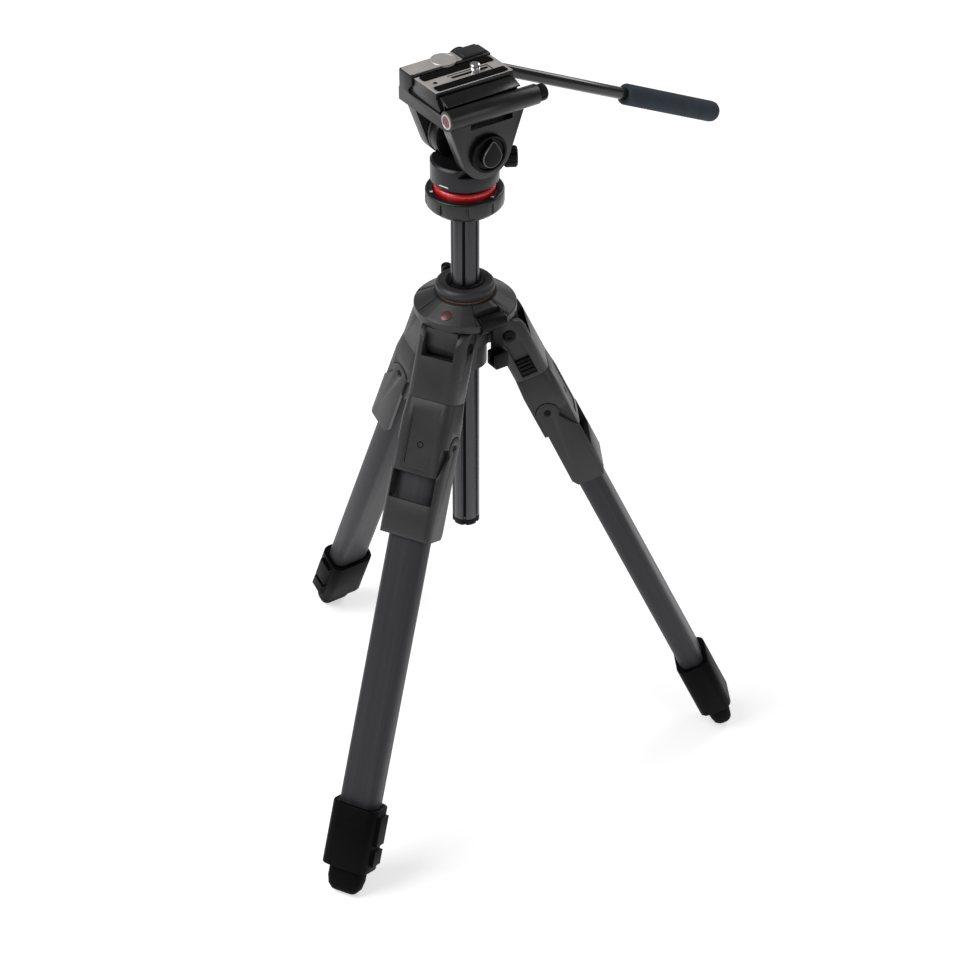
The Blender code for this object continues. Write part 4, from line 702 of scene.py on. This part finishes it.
class TRIPOD_OT_platform(bpy.types.Operator):
    """Tilting platform with its locks and trim"""

    bl_idname = "tripod.platform"
    bl_label = "Tilting platform"

    def execute(self, context):
        made = finishes()
        sizes = context.scene.tripod_sizes
        tilt = tilt_frame()
        dress("tilt_platform", made["head_coat"], sizes.edge)
        self.add_tilt_lock(tilt, made)
        dress("plate_lock_knob", made["nylon"], sizes.small_edge)
        dress("plate_jaw", made["plate_black"], sizes.small_edge)
        dress("plate_release_button", made["powder_coat"], 0)
        self.add_level_cover(tilt, made)
        keep("tilt_shaft", made["steel"])
        # blasted cover on the far rail, in front of the release block
        cover = slab(17.5 * MM, 53 * MM, 0.45 * MM, 2.5 * MM)
        spot = tilt @ Matrix.Translation((-29.9 * MM, -13.6 * MM, 60.4 * MM))
        place_piece("rail_cover", cover, made["blasted"], "tilt_body", spot)
        # plain badge in a light rim on the barrel's end
        radius = sizes.badge_radius
        rim = spun(
            [(radius, 0), (radius + 1.6 * MM, 0), (radius + 1.4 * MM, 0.9 * MM),
             (radius + 0.4 * MM, 1.1 * MM), (radius, 0.7 * MM)],
            40,
        )
        turn = Matrix.Rotation(math.pi / 2, 4, "X")
        front = tilt @ Matrix.Translation((34.5 * MM, -41 * MM, 41 * MM)) @ turn
        place_piece("barrel_badge_rim", rim, made["blasted"], "tilt_body", front)
        disc = spun([(0, 0), (radius - 0.1 * MM, 0), (radius - 0.1 * MM, 0.6 * MM), (0, 0.75 * MM)], 40)
        place_piece("barrel_badge", disc, made["badge"], "tilt_body", front)
        return {"FINISHED"}


    def add_tilt_lock(self, tilt, made):
        """Dished knob with a drop-shaped lever whose rounded top edge has a painted highlight in light
        grey.
        """
        low = 35.3 * MM
        dish = spun(
            [(0, 0), (17.2 * MM, 0), (17.5 * MM, 0.6 * MM), (17.5 * MM, 3.9 * MM), (17.0 * MM, 4.7 * MM),
             (15.9 * MM, 5.0 * MM), (14.9 * MM, 4.6 * MM), (13.9 * MM, 2.9 * MM), (0, 2.4 * MM)],
            64,
        )
        drop = bmesh.new()
        bmesh.ops.create_circle(drop, cap_ends=True, segments=40, radius=9.8 * MM)
        for vert in drop.verts:
            share = max(0, vert.co.y / (9.8 * MM))
            vert.co.y *= 1 + 0.55 * share
            vert.co.x *= 1 - 0.5 * share * share
            vert.co.y -= 1.2 * MM
            vert.co.z = 2.2 * MM
        raised = bmesh.ops.extrude_face_region(drop, geom=drop.faces[:])
        top = [item for item in raised["geom"] if isinstance(item, bmesh.types.BMVert)]
        bmesh.ops.translate(drop, verts=top, vec=(0, 0, 6.2 * MM))
        bmesh.ops.recalc_face_normals(drop, faces=drop.faces)
        lid = max(drop.faces, key=lambda face: face.calc_center_median().z)
        highlight_bevel = bmesh.ops.bevel(
            drop, geom=lid.edges[:], offset=0.9 * MM,
            segments=2, profile=0.5, affect="EDGES", material=-1,
        )
        # painted highlight: the lever's rounded top edge takes the light grey finish
        for face in highlight_bevel["faces"]:
            face.material_index = 1
        turn = Matrix.Rotation(math.pi / 2, 4, "Y") @ Matrix.Rotation(math.radians(86), 4, "Z")
        spot = tilt @ Matrix.Translation((low, 0, 0)) @ turn
        place_piece(
            "tilt_lock_finished", join([(dish, Matrix.Identity(4)), (drop, Matrix.Identity(4))]),
            [made["nylon"], made["painted_highlight"]], "tilt_lock", spot,
            replaced=("tilt_lock_knob",),
        )

    def add_level_cover(self, tilt, made):
        """Round cover of the head's level: a ring with a flat disc in it."""
        disc = spun(
            [(0, -1.2 * MM), (11.4 * MM, -1.2 * MM), (11.6 * MM, 0.9 * MM), (11.1 * MM, 1.5 * MM),
             (10.2 * MM, 1.6 * MM), (9.9 * MM, 1.1 * MM), (0, 1.1 * MM)],
            64,
        )
        spot = tilt @ Matrix.Translation((-29.6 * MM, -2 * MM, 60.5 * MM))
        place_piece(
            "level_cover", disc, made["blasted"], "tilt_body", spot,
            replaced=("head_level_disc",),
        )


class TRIPOD_OT_plate(bpy.types.Operator):
    """Quick-release plate, its rubber strips and the camera screw"""

    bl_idname = "tripod.plate"
    bl_label = "Camera plate"

    def execute(self, context):
        made = finishes()
        sizes = context.scene.tripod_sizes
        tilt = tilt_frame()
        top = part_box("quick_release_plate")[1].z

        def bright_top(bm):
            for face in bm.faces:
                if face.normal.z > 0.99 and face.calc_center_median().z > top - 0.1 * MM:
                    face.material_index = 1

        dress(
            "quick_release_plate", [made["plate_black"], made["blasted"]], sizes.small_edge,
            change=bright_top,
        )
        strips = []
        for x in (-12.1 * MM, 10.1 * MM):
            strip = slab(sizes.strip_width, 72 * MM, sizes.strip_height + 0.1 * MM, 2 * MM)
            spot = tilt @ Matrix.Translation((x, 0, top - tilt.translation.z - 0.1 * MM))
            strips.append((strip, spot))
        place_piece("plate_rubber_strips", join(strips), made["rubber"], "camera_plate", bevel=0.3 * MM)
        # a floor in the slot leaves only a narrow dark line beside the screw; that line is painted
        # shade, where the slot falls into shadow
        liner = slab(8.8 * MM, 40 * MM, 2 * MM, 1 * MM)
        spot = tilt @ Matrix.Translation((-1 * MM, 6.5 * MM, top - tilt.translation.z - 2.7 * MM))
        place_piece("plate_slot_liner", liner, made["blasted"], "camera_plate", spot)
        # painted shade: a dull black strip standing in for the slot's shadow
        line = slab(2.6 * MM, 37 * MM, 0.4 * MM, 1.2 * MM)
        spot = tilt @ Matrix.Translation((-1.6 * MM, 6.5 * MM, top - tilt.translation.z - 0.7 * MM))
        place_piece("plate_slot_painted_shade", line, made["lining_and_painted_shade"], "camera_plate", spot)
        low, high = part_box("camera_screw")
        centre = (low + high) / 2
        rise = high.z - low.z
        screw = spun(
            [(0, 0), (4.4 * MM, 0), (4.4 * MM, rise - 5.4 * MM), (4.0 * MM, rise - 5.0 * MM),
             (4.4 * MM, rise - 4.6 * MM), (4.0 * MM, rise - 4.2 * MM), (4.4 * MM, rise - 3.8 * MM),
             (4.0 * MM, rise - 3.4 * MM), (4.5 * MM, rise - 3.0 * MM), (4.5 * MM, rise - 1.4 * MM),
             (3.7 * MM, rise - 0.5 * MM), (2.2 * MM, rise - 0.1 * MM), (0, rise)],
            40,
        )
        spot = Matrix.Translation((centre.x, centre.y, low.z))
        place_piece(
            "camera_screw_finished", screw, made["steel"], "camera_screw", spot,
            replaced=("camera_screw",),
        )
        return {"FINISHED"}


class TRIPOD_OT_pan_bar(bpy.types.Operator):
    """Pan bar, its clamp and its grip"""

    bl_idname = "tripod.pan_bar"
    bl_label = "Pan bar"

    def execute(self, context):
        made = finishes()
        sizes = context.scene.tripod_sizes
        dress("pan_bar_clamp", made["nylon"], sizes.edge)
        dress("pan_bar", made["bar"], sizes.small_edge)
        bar = bar_frame()
        start = 198 * MM
        end = 318 * MM
        radius = 9.9 * MM
        rod = 6.0 * MM
        grip = spun(
            [(rod, start), (radius - 1.4 * MM, start), (radius - 0.4 * MM, start + 0.5 * MM),
             (radius, start + 1.8 * MM), (radius, end - 7 * MM), (radius - 0.6 * MM, end - 3.6 * MM),
             (radius - 2 * MM, end - 1.4 * MM), (radius - 4.6 * MM, end - 0.2 * MM), (0, end),
             (0, end - 40 * MM), (rod, end - 40 * MM)],
            48,
        )
        turn = bar @ Matrix.Rotation(-math.pi / 2, 4, "X")
        place_piece(
            "pan_bar_grip_finished", grip, made["foam"], "pan_bar", turn,
            replaced=("pan_bar_grip",),
        )
        return {"FINISHED"}


class TRIPOD_OT_stage(bpy.types.Operator):
    """Pale floor, soft lights and the camera"""

    bl_idname = "tripod.stage"
    bl_label = "Stage"

    def execute(self, context):
        studio = context.scene.tripod_studio
        foot = column_foot()
        bm = bmesh.new()
        bmesh.ops.create_grid(bm, x_segments=1, y_segments=1, size=12)
        mesh = bpy.data.meshes.new("floor")
        bm.to_mesh(mesh)
        bm.free()
        floor = bpy.data.objects.new("floor", mesh)
        context.scene.collection.objects.link(floor)
        # The floor gives off light of its own, so that it stays pale far from the lamps.
        mesh.materials.append(
            surface("matt_white_floor", linear("d6d6d6"), 0.9, grain=4, depth=0.0, tone=0.0, specular=0)
        )
        paint = mesh.materials[0].node_tree.nodes["Principled BSDF"]
        paint.inputs["Emission Color"].default_value = linear("ffffff")
        paint.inputs["Emission Strength"].default_value = studio.floor
        floor.location.z = -0.2 * MM
        world = bpy.data.worlds.new("surround")
        world.use_nodes = True
        tree = world.node_tree
        sky = tree.nodes["Background"]
        sky.inputs["Color"].default_value = linear("ffffff")
        # a white backdrop behind a dim room, so that dark finishes keep their depth
        seen = add_node(tree, "ShaderNodeLightPath").outputs["Is Camera Ray"]
        strength = add_node(
            tree, "ShaderNodeMapRange", {"Value": seen, "To Min": studio.sky, "To Max": 1.0}
        ).outputs["Result"]
        tree.links.new(strength, sky.inputs["Strength"])
        context.scene.world = world
        self.add_light("key", (-1.6, -1.5, 2.6), 2.2, studio.key, foot)
        self.add_light("fill", (2.4, -0.6, 1.5), 1.4, studio.fill, foot)
        self.add_light("back", (0.6, 2.2, 1.9), 1.2, studio.back, foot)
        camera = bpy.data.objects.new("camera", bpy.data.cameras.new("camera"))
        context.scene.collection.objects.link(camera)
        camera.data.sensor_width = 36
        camera.data.lens = 101.25
        camera.location = foot + Vector((0.91559, -1.85380, 1.77659 + 0.00118))
        camera.rotation_euler = (math.radians(54.565), 0, math.radians(25.917))
        context.scene.camera = camera
        context.scene.view_settings.view_transform = "Standard"
        return {"FINISHED"}

    def add_light(self, name, place, size, power, target):
        lamp = bpy.data.lights.new(name, "AREA")
        lamp.shape = "SQUARE"
        lamp.size = size
        lamp.energy = power
        item = bpy.data.objects.new(name, lamp)
        item.location = place
        aim = target + Vector((0, 0, 0.4)) - item.location
        item.rotation_euler = aim.to_track_quat("-Z", "Y").to_euler()
        bpy.context.scene.collection.objects.link(item)


OPERATORS = (
    TRIPOD_OT_stage,
    TRIPOD_OT_legs,
    TRIPOD_OT_apex,
    TRIPOD_OT_column,
    TRIPOD_OT_head_base,
    TRIPOD_OT_platform,
    TRIPOD_OT_plate,
    TRIPOD_OT_pan_bar,
)


class TRIPOD_PT_panel(bpy.types.Panel):
    """Lists the pieces and their settings"""

    bl_idname = "TRIPOD_PT_panel"
    bl_label = "Tripod"
    bl_space_type = "VIEW_3D"
    bl_region_type = "UI"
    bl_category = "Tripod"

    def draw(self, context):
        for operator in OPERATORS:
            self.layout.operator(operator.bl_idname)
        scene = context.scene
        for group in (scene.tripod_colours, scene.tripod_sizes, scene.tripod_studio):
            for name in group.__annotations__:
                self.layout.prop(group, name)


GROUPS = {"tripod_colours": TripodColours, "tripod_sizes": TripodSizes, "tripod_studio": StudioSettings}


def register():
    for item in (*GROUPS.values(), *OPERATORS, TRIPOD_PT_panel):
        bpy.utils.register_class(item)
    for name, group in GROUPS.items():
        setattr(bpy.types.Scene, name, bpy.props.PointerProperty(type=group))


def unregister():
    for name in GROUPS:
        delattr(bpy.types.Scene, name)
    for item in reversed((*GROUPS.values(), *OPERATORS, TRIPOD_PT_panel)):
        bpy.utils.unregister_class(item)


def main():
    register()
    bpy.ops.tripod.stage()
    bpy.ops.tripod.legs()
    bpy.ops.tripod.apex()
    bpy.ops.tripod.column()
    bpy.ops.tripod.head_base()
    bpy.ops.tripod.platform()
    bpy.ops.tripod.plate()
    bpy.ops.tripod.pan_bar()


if __name__ == "__main__":
    main()
